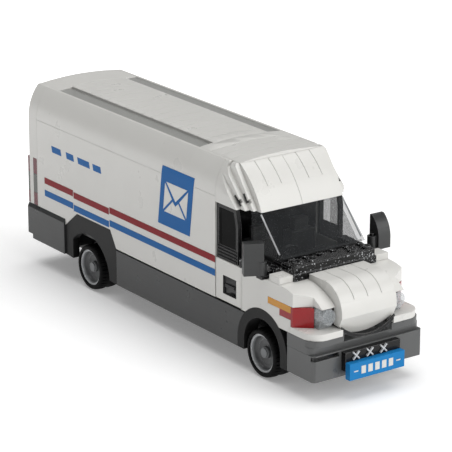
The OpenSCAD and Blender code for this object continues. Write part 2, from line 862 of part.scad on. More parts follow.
module door_window(side) {
  middle_x = half_w - 0.2 - cab_door_t / 2;
  post_y = cab_hinge_y + cab_door_t / 2 + 0.8;
  top = window_top;
  color("#303436", 0.55) on_frame() on_side(side)
    across(middle_x - pane_t / 2, middle_x + pane_t / 2)
      polygon([
        [post_y + 1.6, sill_z + 1], [cab_door_back - 1.6, sill_z + 1],
        [cab_door_back - 1.6, top - 1.6], [post_y + 3.2, top - 1.6], [post_y + 1.6, top - 8.4]
      ]);
}

// Mirror pivot: a foot on the sill with an upright pin
mirror_x = half_w + 0.4;
mirror_y = 39.2;
mirror_low = sill_z + 1.8;
arm_h = 1.6;

module mirror_arms() {
  color("#1b1b1c") on_frame() both_sides() {
    block([inner_w + 0.2, mirror_y - 2.2, sill_z], [mirror_x + 1.6, mirror_y + 2.2, sill_z + arm_h]);
    translate([mirror_x, mirror_y, sill_z + arm_h - eps])
      cylinder(d = mirror_pin_d, h = 8, $fn = fine);
  }
}

// Housing with a clip that turns on the pin. The left one has a curved front, and the right one
// is a flat brick that stands askew.
module mirror_body(side) {
  clip_d = mirror_pin_d + 2.2;
  high = mirror_low + 16;
  front = mirror_y - 3.7;
  back = mirror_y + 3.3;
  x1 = mirror_x + 1.2;
  x2 = x1 + 7.2;
  curve_r = 14;
  askew = 26;
  color("#4a4b49") on_frame() on_side(side) difference() {
    union() {
      if (side == right)
        translate([mirror_x, mirror_y, mirror_low]) rotate(askew)
          block([-0.8, -1.6, 0], [8.7, 3.4, 15.5]);
      else
        across(x1, x2) intersection() {
          translate([front, mirror_low]) square([back - front, high - mirror_low]);
          union() {
            translate([front + curve_r, mirror_low + 5]) circle(curve_r, $fn = fine);
            translate([front, mirror_low]) square([back - front, 5]);
          }
        }
      translate([mirror_x, mirror_y, mirror_low])
        cylinder(d = clip_d, h = 6.4, $fn = fine);
    }
    translate([mirror_x, mirror_y, mirror_low - 1])
      cylinder(r = mirror_pin_d / 2 + pin_clear, h = 9.5, $fn = fine);
  }
}

module bulkhead() {
  color("#2b2c2e") on_frame()
    along(cargo_y, cargo_y + 3) intersection() {
      body_outline(-wall_t - 0.1);
      translate([-half_w, floor_top]) square([body_w, deck_base - floor_top]);
    }
}

/* Cargo body */

module side_wall(side) {
  color("#d9d8d4") on_frame() on_side(side) across(inner_w, half_w)
    difference() {
      translate([cargo_y, floor_top])
        square([portal_y - cargo_y, seam_z - floor_top]);
      rear_arch_outline();
    }
}

module roof_slope(side) {
  color("#dcdbd8") on_frame() on_side(side)
    along(cargo_y, portal_y) intersection() {
      difference() {
        body_outline(0);
        body_outline(-wall_t);
      }
      translate([deck_half, seam_z]) square([half_w, roof_z]);
    }
}

strip_front = ridge_y + 33;
strip_back = portal_y - 10.4;

// Crowned roof: a base plate with rows of tiles on it
module roof_deck() {
  strip_in = deck_half - strip_w;
  seam = 0.25;
  rows = floor((portal_y - ridge_y) / pitch);
  color("#dfdedd") on_frame() difference() {
    union() {
      block([-deck_half, ridge_y, deck_base], [deck_half, portal_y, deck_bottom]);
      along(ridge_y, strip_front) intersection() {
        crown_outline(deck_half);
        translate([-deck_half, deck_bottom - eps]) square([2 * deck_half, plate_h * 2]);
      }
      along(strip_front - eps, strip_back + eps) intersection() {
        crown_outline(deck_half);
        translate([-strip_in, deck_bottom - eps]) square([2 * strip_in, plate_h * 2]);
      }
      along(strip_back, portal_y) intersection() {
        crown_outline(deck_half);
        translate([-deck_half, deck_bottom - eps]) square([2 * deck_half, plate_h * 2]);
      }
    }
    // Seams between the rows of tiles
    for (i = [1 : rows - 1])
      along(ridge_y + i * pitch - seam / 2, ridge_y + i * pitch + seam / 2) difference() {
        translate([-deck_half + 0.8, roof_z - 1.5])
          square([2 * deck_half - 1.6, plate_h * 2]);
        translate([0, -0.3]) crown_outline(deck_half);
      }
  }
}

module roof_strips() {
  color("#8a8b89") on_frame() both_sides()
    block([deck_half - strip_w + fit_gap, strip_front + fit_gap, deck_bottom],
          [deck_half - fit_gap, strip_back - fit_gap, roof_z - 0.3]);
}

// Boxes of the rear lamps: one column on the side and one on the rear face
lamp_col_low = layer(7);
lamp_col_high = layer(15);

// Frame around the rear doors, with the holes for their pins
module rear_portal() {
  opening = inner_w - 0.8;
  top = roof_z - portal_header;
  crown_z = roof_z - eps;
  hole_depth = pin_len + 0.2 - door_gap;
  color("#d6d5d2") on_frame() difference() {
    union() {
      along(portal_y, tail_y) intersection() {
        body_outline(0);
        translate([-half_w, floor_top]) square([body_w, roof_z]);
      }
      along(portal_y, tail_y) intersection() {
        crown_outline(deck_half);
        translate([-half_w, crown_z]) square([body_w, plate_h]);
      }
    }
    block([-opening, portal_y - 1, floor_top - 1], [opening, tail_y + 1, top]);
    rear_pin_holes(top - eps, hole_depth);
    both_sides()
      block([half_w - 2 - fit_gap, portal_y + 0.8 - fit_gap, lamp_col_low - fit_gap],
            [half_w + 1, portal_y + 4.4 + fit_gap, lamp_col_high + fit_gap]);
  }
}

module rear_door(side) {
  low = floor_top + door_gap;
  high = roof_z - portal_header - door_gap;
  front = tail_y - rear_door_t;
  edge = 0.2;
  color("#d3d2cf") on_frame() on_side(side) difference() {
    union() {
      block([edge, front, low], [rear_hinge_x, tail_y, high]);
      translate([rear_hinge_x, rear_hinge_y, low])
        cylinder(d = rear_door_t, h = high - low, $fn = fine);
      translate([rear_hinge_x, rear_hinge_y, low - pin_len])
        cylinder(d = pin_d, h = high - low + 2 * pin_len, $fn = fine);
      // Handle on the closing edge
      block([edge + 1.2, tail_y - eps, sill_z - 6], [edge + 2.8, tail_y + 1.2, sill_z + 6]);
    }
    // Shallow groove between the door's lower and upper panel
    block([edge + 0.8, tail_y - 0.3, sill_z + 7.9], [rear_hinge_x - 1.6, tail_y + 1, sill_z + 8.2]);
  }
}

module rear_lamps() {
  color("#8c1c22") on_frame() both_sides() {
    block([half_w - 2, portal_y + 0.8, lamp_col_low], [half_w, portal_y + 4.4, lamp_col_high]);
    block([half_w - 3.2, tail_y, lamp_col_low], [half_w, body_len, lamp_col_high]);
  }
}

/* Printed panels */

skin = 0.2;
stripe_back = body_len - 16.5;

// A thin skin over the cargo side, between two stations and two heights
module side_skin(y1, y2, z1, z2) {
  along(y1, y2) intersection() {
    difference() {
      body_outline(skin);
      body_outline(0);
    }
    translate([0, z1]) square([body_w, z2 - z1]);
  }
}

// Red band over a blue band along each side
module side_stripes() {
  band = 3.3;
  color("#7a2030") on_frame() both_sides() {
    side_skin(cargo_y, stripe_back, sill_z - band + 0.3, sill_z + 0.3);
    side_skin(cargo_y, stripe_back, sill_z - 9.8, sill_z - 9.8 + band);
  }
}

// Plain blue rectangle near the front of each side
module emblem_panels() {
  emblem_y = cargo_y + 17;
  emblem_w = 27;
  emblem_low = sill_z + 4.2;
  emblem_high = min(emblem_low + 30, roof_z - 8);
  lean = 4;
  color("#0f5f9f") on_frame() both_sides() intersection() {
    side_skin(emblem_y, emblem_y + emblem_w + lean, emblem_low, emblem_high);
    across(0, body_w) polygon([
      [emblem_y + lean, emblem_low], [emblem_y, emblem_high],
      [emblem_y + emblem_w, emblem_high], [emblem_y + emblem_w + lean, emblem_low]
    ]);
  }
}

chassis_frame();
axle_holders();
axle(front_axle_y);  // front_axle
axle(rear_axle_y);  // rear_axle
hub(front_axle_y, right);  // front_hub_right
hub(front_axle_y, left);  // front_hub_left
hub(rear_axle_y, right);  // rear_hub_right
hub(rear_axle_y, left);  // rear_hub_left
tyre(front_axle_y, right);  // front_tyre_right
tyre(front_axle_y, left);  // front_tyre_left
tyre(rear_axle_y, right);  // rear_tyre_right
tyre(rear_axle_y, left);  // rear_tyre_left
side_skirt(right);  // side_skirt_right
side_skirt(left);  // side_skirt_left
rear_skirt();
front_arch(right);  // front_arch_right
front_arch(left);  // front_arch_left
rear_arch(right);  // rear_arch_right
rear_arch(left);  // rear_arch_left
bumper();
bumper_top_plates();
plate_bracket();
grille_lattice();
number_plate();
lip_plates();
bonnet();
fender(right);  // fender_right
fender(left);  // fender_left
headlamps();
indicators();
corner_lamps();
fender_tiles();
cowl();
dashboard();
steering_wheel();
seats();
windscreen();
visor(right);  // visor_right
visor(left);  // visor_left
header_cheeks();
cab_door(right);  // cab_door_right
cab_door(left);  // cab_door_left
door_window(right);  // door_window_right
door_window(left);  // door_window_left
mirror_arms();
mirror_body(right);  // mirror_right
mirror_body(left);  // mirror_left
bulkhead();
side_wall(right);  // side_wall_right
side_wall(left);  // side_wall_left
roof_slope(right);  // roof_slope_right
roof_slope(left);  // roof_slope_left
roof_deck();
roof_strips();
rear_portal();
rear_door(right);  // rear_door_right
rear_door(left);  // rear_door_left
rear_lamps();
side_stripes();
emblem_panels();
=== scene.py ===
# %% [markdown] # A mail van built from toy bricks The van is already designed and measured:
# its bodywork arrives as a packed model, and every brick sits where it belongs. What is left
# for Blender is what a camera sees: rounded edges, glossy moulded plastic, rubber, smoked
# windows, printed stickers, light and a camera.

# %% Load the packed van
import json
import math

import bmesh
import bpy
import numpy as np
from mathutils import Matrix, Vector

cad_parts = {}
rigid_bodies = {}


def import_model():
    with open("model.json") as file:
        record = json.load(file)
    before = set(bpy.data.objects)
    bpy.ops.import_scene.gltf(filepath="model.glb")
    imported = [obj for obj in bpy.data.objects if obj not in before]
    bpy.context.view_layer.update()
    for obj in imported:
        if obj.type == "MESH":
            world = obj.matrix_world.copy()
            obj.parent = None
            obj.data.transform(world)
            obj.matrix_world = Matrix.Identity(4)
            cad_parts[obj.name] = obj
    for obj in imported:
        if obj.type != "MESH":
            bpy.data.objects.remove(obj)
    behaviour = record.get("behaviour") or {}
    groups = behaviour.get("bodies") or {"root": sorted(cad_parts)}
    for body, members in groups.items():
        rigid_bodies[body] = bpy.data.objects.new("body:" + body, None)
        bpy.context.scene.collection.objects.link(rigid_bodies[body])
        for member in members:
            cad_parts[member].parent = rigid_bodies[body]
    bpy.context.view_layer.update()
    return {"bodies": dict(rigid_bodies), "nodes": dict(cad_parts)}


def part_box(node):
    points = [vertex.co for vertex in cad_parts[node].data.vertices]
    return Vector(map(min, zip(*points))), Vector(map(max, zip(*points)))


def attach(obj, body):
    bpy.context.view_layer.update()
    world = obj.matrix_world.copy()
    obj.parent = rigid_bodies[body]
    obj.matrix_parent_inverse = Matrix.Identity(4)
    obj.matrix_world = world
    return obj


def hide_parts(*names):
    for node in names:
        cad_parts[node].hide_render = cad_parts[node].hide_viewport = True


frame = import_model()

MM = 0.001
PITCH = 8 * MM
PLATE = 3.2 * MM
nose_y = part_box("bumper")[0].y


def station(distance_mm):
    """The y of a point that far behind the front face of the bumper: the bumper's y plus it."""
    return nose_y + distance_mm * MM


# %% [markdown]
# ## Camera
# A toy van is shown from a standing person's eye level, a little above the roof, with a long
# lens so that its sides stay almost parallel. A camera is turned by a matrix whose columns are
# its right, its up and its back. That is steadier than a tracking constraint, because nothing
# has to be worked out again when the scene is opened.

# %% Place the camera
def camera_axes(azimuth_deg, elevation_deg):
    """Right, up and back of a level camera: back points from the target to the camera, right is
    level and square to it, and up is back crossed with right."""
    azimuth, elevation = math.radians(azimuth_deg), math.radians(elevation_deg)
    back = Vector((
        math.sin(azimuth) * math.cos(elevation),
        -math.cos(azimuth) * math.cos(elevation),
        math.sin(elevation),
    ))
    side = Vector((math.cos(azimuth), math.sin(azimuth), 0))
    return side, back.cross(side), back


looked_at = Vector((-0.0004, -0.0084, 0.0495))
camera_reach = 1.165
side, up, back = camera_axes(-35.49, 18.33)
lens = bpy.data.cameras.new("studio_camera")
lens.lens = 188.7
lens.sensor_width = 36
lens.clip_start = 0.01
camera = bpy.data.objects.new("studio_camera", lens)
bpy.context.scene.collection.objects.link(camera)
place = looked_at + back * camera_reach
camera.matrix_world = Matrix.Translation(place) @ Matrix((side, up, back)).transposed().to_4x4()
bpy.context.scene.camera = camera
print("camera at", tuple(round(value, 3) for value in place))


# %% [markdown]
# ## Shader sums written as Python
# A material in Blender is a web of nodes. Wiring each one by hand hides the idea, so one small
# class wraps an output socket and gives it the usual operators: writing 1 - mask adds a Math
# node. Colours and vectors can't go through a Math node, which would turn them grey, so they
# have methods of their own.

# %% A socket that knows arithmetic
class Wire:
    """An output socket in a material. Each operator adds one Math node and returns its output."""

    def __init__(self, recipe, socket):
        self.recipe, self.socket = recipe, socket

    def maths(self, operation, *terms):
        return self.recipe.node("ShaderNodeMath", {"operation": operation}, dict(enumerate(terms)))

    def __add__(self, other):
        return self.maths("ADD", self, other)

    def __radd__(self, other):
        return self.maths("ADD", other, self)

    def __sub__(self, other):
        return self.maths("SUBTRACT", self, other)

    def __rsub__(self, other):
        return self.maths("SUBTRACT", other, self)

    def __mul__(self, other):
        return self.maths("MULTIPLY", self, other)

    def __rmul__(self, other):
        return self.maths("MULTIPLY", other, self)

    def __truediv__(self, other):
        return self.maths("DIVIDE", self, other)

    def __abs__(self):
        return self.maths("ABSOLUTE", self)

    def limited(self):
        """The value kept between 0 and 1."""
        return self.recipe.node("ShaderNodeClamp", {}, {0: self})

    def over(self, limit):
        """1 where the value is greater than the limit, and 0 elsewhere."""
        return self.maths("GREATER_THAN", self, limit)

    def wave(self, period):
        """A triangle wave: the distance to the nearest multiple of twice the period."""
        return self.maths("PINGPONG", self, period)

    def axis(self, letter):
        """One coordinate of a vector."""
        return self.recipe.node("ShaderNodeSeparateXYZ", {}, {0: self}, letter)


class Recipe:
    """One material while it is being written."""

    def __init__(self, name):
        self.material = bpy.data.materials.new(name)
        self.material.use_nodes = True
        self.tree = self.material.node_tree
        self.tree.nodes.clear()
        self.place = self.node("ShaderNodeTexCoord", output="Object")

    def node(self, kind, settings=None, values=None, output=0):
        """Adds a node of that type, sets its settings, then its sockets by name or number."""
        made = self.tree.nodes.new(kind)
        for key, value in (settings or {}).items():
            setattr(made, key, value)
        for key, value in (values or {}).items():
            if isinstance(value, Wire):
                self.tree.links.new(value.socket, made.inputs[key])
            else:
                made.inputs[key].default_value = value
        return Wire(self, made.outputs[output]) if made.outputs else None

    def noise(self, size, detail=2.0, place=None):
        """Soft noise from 0 to 1 whose blotches are about as wide as size."""
        values = {"Vector": place or self.place, "Scale": 1 / size, "Detail": detail}
        return self.node("ShaderNodeTexNoise", {}, values, "Fac")

    def blend(self, factor, first, second):
        """A colour between two colours: the first where the factor is 0, the second where 1."""
        values = {0: factor, 6: first, 7: second}
        return self.node("ShaderNodeMix", {"data_type": "RGBA"}, values, 2)

    def stretched(self, x, y, z):
        """The object's coordinates, multiplied axis by axis."""
        values = {0: self.place, 1: (x, y, z)}
        return self.node("ShaderNodeVectorMath", {"operation": "MULTIPLY"}, values)

    def finish(self, values):
        """Ends the material in a Principled shader with those socket values."""
        shader = self.node("ShaderNodeBsdfPrincipled", {}, values)
        self.node("ShaderNodeOutputMaterial", {"target": "ALL"}, {"Surface": shader})
        return self.material


def tone(red, green, blue):
    """A colour given as three levels from 0 to 255 on a screen, as the linear values that a
    shader wants: each level over 255, to the power 2.2, and 1 for opaque."""
    return tuple((level / 255) ** 2.2 for level in (red, green, blue)) + (1.0,)


print("recipe methods:", [name for name in vars(Recipe) if not name.startswith("_")])


# %% [markdown]
# ## Moulded plastic
# A toy brick is polished ABS plastic. It is one colour, but never one flat colour: the tint
# drifts a little from brick to brick, the surface has a faint waviness from the mould, and
# handling leaves fine scratches. The edges catch the light where they are rounded: a painted
# highlight pales them a little, and they are a little rougher where worn. An image texture could
# carry all this, but a recipe in nodes fits any part at the right scale. The edge mask comes from
# the Bevel node: where the rounded normal leaves the true one, there is an edge.

# %% Detail that every plastic part shares
# An edge mask: it places painted edge highlights, and in brick plastic a little extra roughness.
def edge_mask(recipe, reach):
    """0 on a flat face and up to 1 at an edge: one minus the dot product of the true normal and
    a normal rounded over the reach, made eight times stronger, then kept under 1."""
    rounded = recipe.node("ShaderNodeBevel", {"samples": 4}, {"Radius": reach})
    true = recipe.node("ShaderNodeNewGeometry", output="Normal")
    facing = recipe.node(
        "ShaderNodeVectorMath", {"operation": "DOT_PRODUCT"}, {0: rounded, 1: true}, "Value"
    )
    return ((1 - facing) * 8).limited(), rounded


def scratches(recipe):
    """Fine streaks: noise that is stretched thirty times along the van, kept where it peaks."""
    streaks = recipe.noise(0.6 * MM, 1.0, recipe.stretched(1, 1 / 30, 1))
    return ((streaks - 0.72) * 9).limited()


def brick_plastic(
    name, colour, roughness=0.24, drift=0.05, edge_highlight=0.3, joints=None, glints=0.0, shine=0.5
):
    """Polished plastic. The colour drifts by the given share over 30 mm and from stud to stud,
    edges get paler by their own share, a painted highlight, and a little rougher, and
    joints(recipe) may add dark gaps between bricks.
    Glints are painted highlights: small pale specks wherever fine noise peaks, as on a crowd of
    little studs. Shine is the shader's own specular level, lower for plastic that has gone dull."""
    recipe = Recipe(name)
    darker = tuple(level * (1 - drift) for level in colour[:3]) + (1.0,)
    # The paler tone of the painted edge highlight.
    highlight_tone = tuple(level + (0.85 - level) * 0.35 for level in colour[:3]) + (1.0,)
    cells = recipe.node(
        "ShaderNodeTexVoronoi", {}, {"Vector": recipe.place, "Scale": 1 / (2 * PITCH)}, "Color"
    )
    patch = recipe.noise(30 * MM) * 0.6 + cells.axis("X") * 0.4
    edge_share, rounded = edge_mask(recipe, 0.35 * MM)
    edge_share = edge_share * (0.35 + 0.65 * recipe.noise(2.5 * MM, 3.0))
    marks = scratches(recipe)
    shade = recipe.blend(patch, colour, darker)
    # Painted highlight: the edges blend towards the paler tone.
    shade = recipe.blend(edge_share * edge_highlight, shade, highlight_tone)
    # Painted highlights: pale specks where fine noise peaks.
    if glints:
        specks = ((recipe.noise(0.9 * MM, 4.0) - 0.6) * 14).limited()
        shade = recipe.blend(specks * glints, shade, tone(214, 216, 218))
    height = recipe.noise(9 * MM, 1.0) * 0.8 + recipe.noise(0.5 * MM) * 0.04 - marks * 0.01
    rough = roughness + recipe.noise(12 * MM, 4.0) * 0.1 + marks * 0.05 + edge_share * 0.1
    if joints:
        gap = joints(recipe)
        shade = recipe.blend(gap * 0.55, shade, (0.01, 0.01, 0.01, 1))
        height = height - gap * 0.8
        rough = rough + gap * 0.2
    bump = recipe.node(
        "ShaderNodeBump", {},
        {"Strength": 0.35, "Distance": 0.12 * MM, "Height": height, "Normal": rounded},
    )
    return recipe.finish({
        "Base Color": shade, "Roughness": rough, "Normal": bump, "IOR": 1.53,
        "Specular IOR Level": shine,
    })


def gap_at(value, place_mm, width_mm=0.16):
    """1 in a thin gap at that place along an axis, 0 outside it: one minus the distance to the
    place over half the width."""
    return (1 - abs(value - place_mm) / (width_mm * MM / 2)).limited()


def course_joints(recipe):
    """Gaps between layers of bricks, one plate apart in z."""
    layers = (recipe.place.axis("Z") - base_layer).wave(PLATE / 2)
    return (1 - layers / (0.07 * MM)).limited() * 0.8


base_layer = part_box("bumper")[0].z
print("lowest layer at", round(base_layer / MM, 2), "mm")

# %% [markdown]
# ## Rubber, clear plastic and stickers
# The tyres are matt rubber with dust in patches. The coloured lamps are the same plastic
# without much pigment: the shader's transmission lets light through and its colour tints it.
# Bending light through a window only 1 mm thick would cost render time and show nothing, so
# windows and clear lenses are thin panes instead: a share of each pane covers what is behind
# it, and the rest is simply open. A sticker is flat, with a softer gloss than a brick.

# %% Other finishes
def rubber(name):
    """Matt black rubber: fine grain, and dust wherever soft noise is high."""
    recipe = Recipe(name)
    dust = ((recipe.noise(5 * MM, 5.0) - 0.45) * 3).limited()
    shade = recipe.blend(dust * 0.2, tone(15, 15, 16), tone(56, 55, 54))
    height = recipe.noise(0.35 * MM, 3.0)
    bump = recipe.node(
        "ShaderNodeBump", {}, {"Strength": 0.5, "Distance": 0.08 * MM, "Height": height}
    )
    return recipe.finish({
        "Base Color": shade, "Roughness": 0.55 + dust * 0.25, "Normal": bump,
        "Specular IOR Level": 0.12,
    })


def clear_plastic(name, colour, roughness=0.03, clearness=1.0, ripple=0.02):
    """Transparent plastic in one tint, with a slight ripple from the mould."""
    recipe = Recipe(name)
    shade = recipe.blend(recipe.noise(14 * MM), colour, tuple(v * 0.85 for v in colour[:3]) + (1,))
    height = recipe.noise(4 * MM, 2.0)
    bump = recipe.node(
        "ShaderNodeBump", {}, {"Strength": ripple, "Distance": 0.3 * MM, "Height": height}
    )
    return recipe.finish({
        "Base Color": shade,
        "Roughness": roughness + recipe.noise(6 * MM, 4.0) * 0.04,
        "Normal": bump, "Transmission Weight": clearness, "IOR": 1.45,
    })


def sticker(name, colour):
    """A printed film: even colour with a trace of print grain and a soft gloss."""
    recipe = Recipe(name)
    faded = tuple(level * 0.86 for level in colour[:3]) + (1.0,)
    shade = recipe.blend(recipe.noise(18 * MM, 3.0), colour, faded)
    height = recipe.noise(0.8 * MM)
    bump = recipe.node(
        "ShaderNodeBump", {}, {"Strength": 0.15, "Distance": 0.03 * MM, "Height": height}
    )
    return recipe.finish({
        "Base Color": shade, "Roughness": 0.34 + recipe.noise(7 * MM) * 0.12, "Normal": bump,
        "Specular IOR Level": 0.15,
    })


def thin_pane(name, dark, light, cover, shine=0.5, painted_reflection=0.0):
    """A thin pane: see-through except for its share of cover, with dust in patches. Shine is
    the shader's specular level. The last argument is a painted reflection: an even glow that
    stands in for the pale room that a pane mirrors, for a pane whose own mirror image of the floor
    would only come out as grain."""
    recipe = Recipe(name)
    dust = recipe.noise(16 * MM, 4.0)
    shade = recipe.blend(dust, dark, light)
    height = recipe.noise(7 * MM, 1.0)
    bump = recipe.node(
        "ShaderNodeBump", {}, {"Strength": 0.1, "Distance": 0.2 * MM, "Height": height}
    )
    # The emission is a painted reflection: an even glow of the pale room.
    return recipe.finish({
        "Base Color": shade, "Roughness": 0.04 + dust * 0.06, "Normal": bump,
        "Alpha": cover + dust * 0.06, "IOR": 1.5, "Specular IOR Level": shine,
        "Emission Color": (painted_reflection, painted_reflection, painted_reflection, 1), "Emission Strength": 1.0,
    })


def dished_plastic(name, rim, bowl, reach):
    """Plastic that is pale at the outer face of a wheel and darker down in its bowl, partly
    painted
    shade and partly dust: the share of the dark tone is the depth below the outer face over the
    reach, kept under 1. Its edges get a painted highlight."""
    recipe = Recipe(name)
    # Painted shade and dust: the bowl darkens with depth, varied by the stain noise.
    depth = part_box("front_hub_left")[1].x - abs(recipe.place.axis("X"))
    share = (depth / reach).limited()
    stain = recipe.noise(3 * MM, 4.0) * 0.3
    shade = recipe.blend((share * 0.85 + stain * share).limited(), rim, bowl)
    edge_share, rounded = edge_mask(recipe, 0.25 * MM)
    bump = recipe.node(
        "ShaderNodeBump", {},
        {"Strength": 0.3, "Distance": 0.1 * MM, "Height": recipe.noise(1.5 * MM),
         "Normal": rounded},
    )
    # The base colour adds a painted highlight: a pale tone along the edges.
    return recipe.finish({
        "Base Color": recipe.blend(edge_share * 0.6, shade, tone(206, 208, 210)),
        "Roughness": 0.24 + stain * 0.5, "Normal": bump,
    })


def tail_plastic(name):
    """Dark red plastic with a clear stretch in the middle of its height: the share of clear is
    a pulse of z between two limits, as on a stacked rear lamp."""
    recipe = Recipe(name)
    low, high = (corner.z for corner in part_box("rear_lamps"))
    level = (recipe.place.axis("Z") - low) / (high - low)
    clear = level.over(0.27) * (1 - level.over(0.66))
    seam = gap_at(level, 0.27, 26) + gap_at(level, 0.66, 26)
    shade = recipe.blend(clear, tone(104, 34, 46), tone(92, 94, 90))
    shade = recipe.blend((seam * 0.8).limited(), shade, (0.02, 0.01, 0.01, 1))
    ribs = recipe.place.axis("Z").wave(0.8 * MM) / (0.8 * MM)
    bump = recipe.node(
        "ShaderNodeBump", {}, {"Strength": 0.4, "Distance": 0.2 * MM, "Height": ribs}
    )
    return recipe.finish({
        "Base Color": shade, "Roughness": 0.1 + recipe.noise(4 * MM) * 0.1, "Normal": bump,
        "Transmission Weight": 0.15, "IOR": 1.45,
    })


finishes = {
    "white_brick": brick_plastic("white_plastic", tone(207, 206, 202), drift=0.04, edge_highlight=0.5),
    "dark_grey_brick": brick_plastic(
        "dark_grey_plastic", tone(50, 51, 51), joints=course_joints, shine=0.4
    ),
    "mid_grey_brick": brick_plastic("mid_grey_plastic", tone(82, 83, 83)),
    "black_brick": brick_plastic("black_plastic", tone(18, 18, 19), 0.2, edge_highlight=0.7, shine=0.28),
    "light_grey_brick": brick_plastic("light_grey_plastic", tone(186, 188, 190)),
    "strip_grey": brick_plastic("strip_plastic", tone(158, 158, 155), roughness=0.4),
    # The hub's darker tone is partly painted shade in its bowl.
    "hub_silver": dished_plastic("hub_plastic", tone(176, 178, 180), tone(84, 85, 86), 1.7 * MM),
    "axle_grey": brick_plastic("axle_plastic", tone(120, 122, 124), roughness=0.3),
    "tyre_rubber": rubber("tyre_rubber"),
    # The smoked window's faint glow is a painted reflection.
    "smoked_clear": thin_pane(
        "smoked_window", tone(30, 32, 34), tone(60, 62, 64), 0.24, shine=0.12, painted_reflection=0.02
    ),
    "lens_clear": thin_pane("clear_lens", tone(150, 156, 160), tone(226, 230, 232), 0.34),
    "lens_amber": clear_plastic("amber_lens", tone(240, 168, 40), 0.08, 0.35),
    "lens_red": clear_plastic("red_lens", tone(188, 20, 30), 0.08, 0.45, 0.3),
    "print_blue": sticker("blue_print", tone(0, 94, 160)),
    "print_red": sticker("red_print", tone(132, 22, 32)),
    "plate_blue": sticker("plate_print", tone(30, 120, 182)),
}
print("finishes:", len(finishes))

# %% [markdown]
# ## Painting the packed parts
# Each packed part names the finish of its slots, so one loop over the slots paints the van. The
# rear lamps and the door windows then get a finish of their own. Changing a slot doesn't change
# the mesh, which stays exactly as it was designed.

# %% Paint every part by the name of its slot
def plain_name(slot_name):
    """The slot's name without the number that Blender adds to a second copy."""
    return slot_name.split(".")[0]


def slot_of(node_name):
    """The name of the first finish of a packed part."""
    return plain_name(frame["nodes"][node_name].material_slots[0].material.name)


slot_names = {name: slot_of(name) for name in frame["nodes"]}
for name, part in frame["nodes"].items():
    for material_slot in part.material_slots:
        material_slot.material = finishes[plain_name(material_slot.material.name)]
frame["nodes"]["rear_lamps"].material_slots[0].material = tail_plastic("tail_lens")
# The door glass is black without shine; its faint even glow is a painted reflection.
door_glass = thin_pane(
    "door_window_glass", tone(0, 0, 0), tone(0, 0, 0), 0.24, shine=0.0, painted_reflection=0.03
)
for hand in ("right", "left"):
    frame["nodes"][f"door_window_{hand}"].material_slots[0].material = door_glass
print({slot: sum(value == slot for value in slot_names.values()) for slot in finishes})

# %% [markdown]
# ## Rounded brick edges
# No moulded edge is perfectly sharp, and a thin bright line along each edge is what makes a
# brick read as a brick. The packed parts are loose triangles, so a copy is merged first, and
# the triangles of each flat face are joined. Then a Bevel modifier rounds only the real edges.
# Wheels, roof strips and headlamps are made new below, and the thin crosses of the grille stay
# as they were packed. The cowl is a crowd of studs, so its finish has painted glints: pale specks
# in its colour.

# %% Give the bricks rounded edges
body_names = {empty: name for name, empty in frame["bodies"].items()}


def rounded_copy(name, width=0.16 * MM):
    """A merged copy of a packed part whose edges sharper than 30 degrees are rounded."""
    part = frame["nodes"][name]
    mesh = part.data.copy()
    mesh.name = name + "_bricks"
    shape = bmesh.new()
    shape.from_mesh(mesh)
    bmesh.ops.remove_doubles(shape, verts=shape.verts, dist=0.03 * MM)
    bmesh.ops.dissolve_degenerate(shape, edges=shape.edges, dist=0.001 * MM)
    bmesh.ops.dissolve_limit(
        shape, angle_limit=math.radians(0.5), verts=shape.verts, edges=shape.edges,
        delimit={"MATERIAL"},
    )
    for face in shape.faces:
        face.smooth = True
    shape.to_mesh(mesh)
    shape.free()
    mesh.set_sharp_from_angle(angle=math.radians(30))
    piece = bpy.data.objects.new(name + "_bricks", mesh)
    bpy.context.scene.collection.objects.link(piece)
    bevel = piece.modifiers.new("rounded_edges", "BEVEL")
    bevel.width = width
    bevel.segments = 2
    bevel.limit_method = "ANGLE"
    bevel.angle_limit = math.radians(30)
    bevel.use_clamp_overlap = True
    bevel.harden_normals = True
    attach(piece, body_names[part.parent])
    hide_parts(name)
    return piece


door_back, door_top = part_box("cab_door_right")[1].y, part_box("side_skirt_right")[1].z
handle_place = np.array((door_back - 11.1 * MM, door_top + 9.15 * MM))
handle_half = np.array((5.4, 4.7)) * MM


def darken_above(piece, height):
    """Gives the black finish to the faces above that height and to those of the sunk handle,
    which lie a little inside the door's outer face within a box round the handle's middle."""
    mesh = piece.data
    mesh.materials.append(finishes["black_brick"])
    centres = np.empty(len(mesh.polygons) * 3)
    mesh.polygons.foreach_get("center", centres)
    centres = centres.reshape(-1, 3)
    in_frame = centres[:, 2] > height
    outer = np.abs(centres[:, 0]).max()
    behind = outer - np.abs(centres[:, 0])
    in_handle = (behind > 0.05 * MM) & (behind < 1.2 * MM)
    in_handle &= np.all(np.abs(centres[:, 1:] - handle_place) < handle_half, axis=1)
    chosen = (in_frame | in_handle).astype(np.int32)
    mesh.polygons.foreach_set("material_index", chosen)
    return int(chosen.sum())


see_through = {"smoked_clear", "lens_clear", "lens_amber", "lens_red"}
printed = {"print_blue", "print_red", "plate_blue"}
wheel_nodes = [(end, hand) for end in ("front", "rear") for hand in ("right", "left")]
wheel_parts = {f"{end}_{kind}_{hand}" for end, hand in wheel_nodes for kind in ("tyre", "hub")}
made_below = wheel_parts | {"roof_strips", "headlamps"}
too_thin_to_round = {"grille_lattice"}
bricks = [
    name for name, slot in slot_names.items()
    if slot not in see_through | printed and name not in made_below | too_thin_to_round
]
rounded = {name: rounded_copy(name) for name in bricks}
sill_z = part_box("door_window_right")[0].z - 1 * MM
for hand in ("right", "left"):
    print("black faces:", darken_above(rounded[f"cab_door_{hand}"], sill_z + 0.1 * MM))
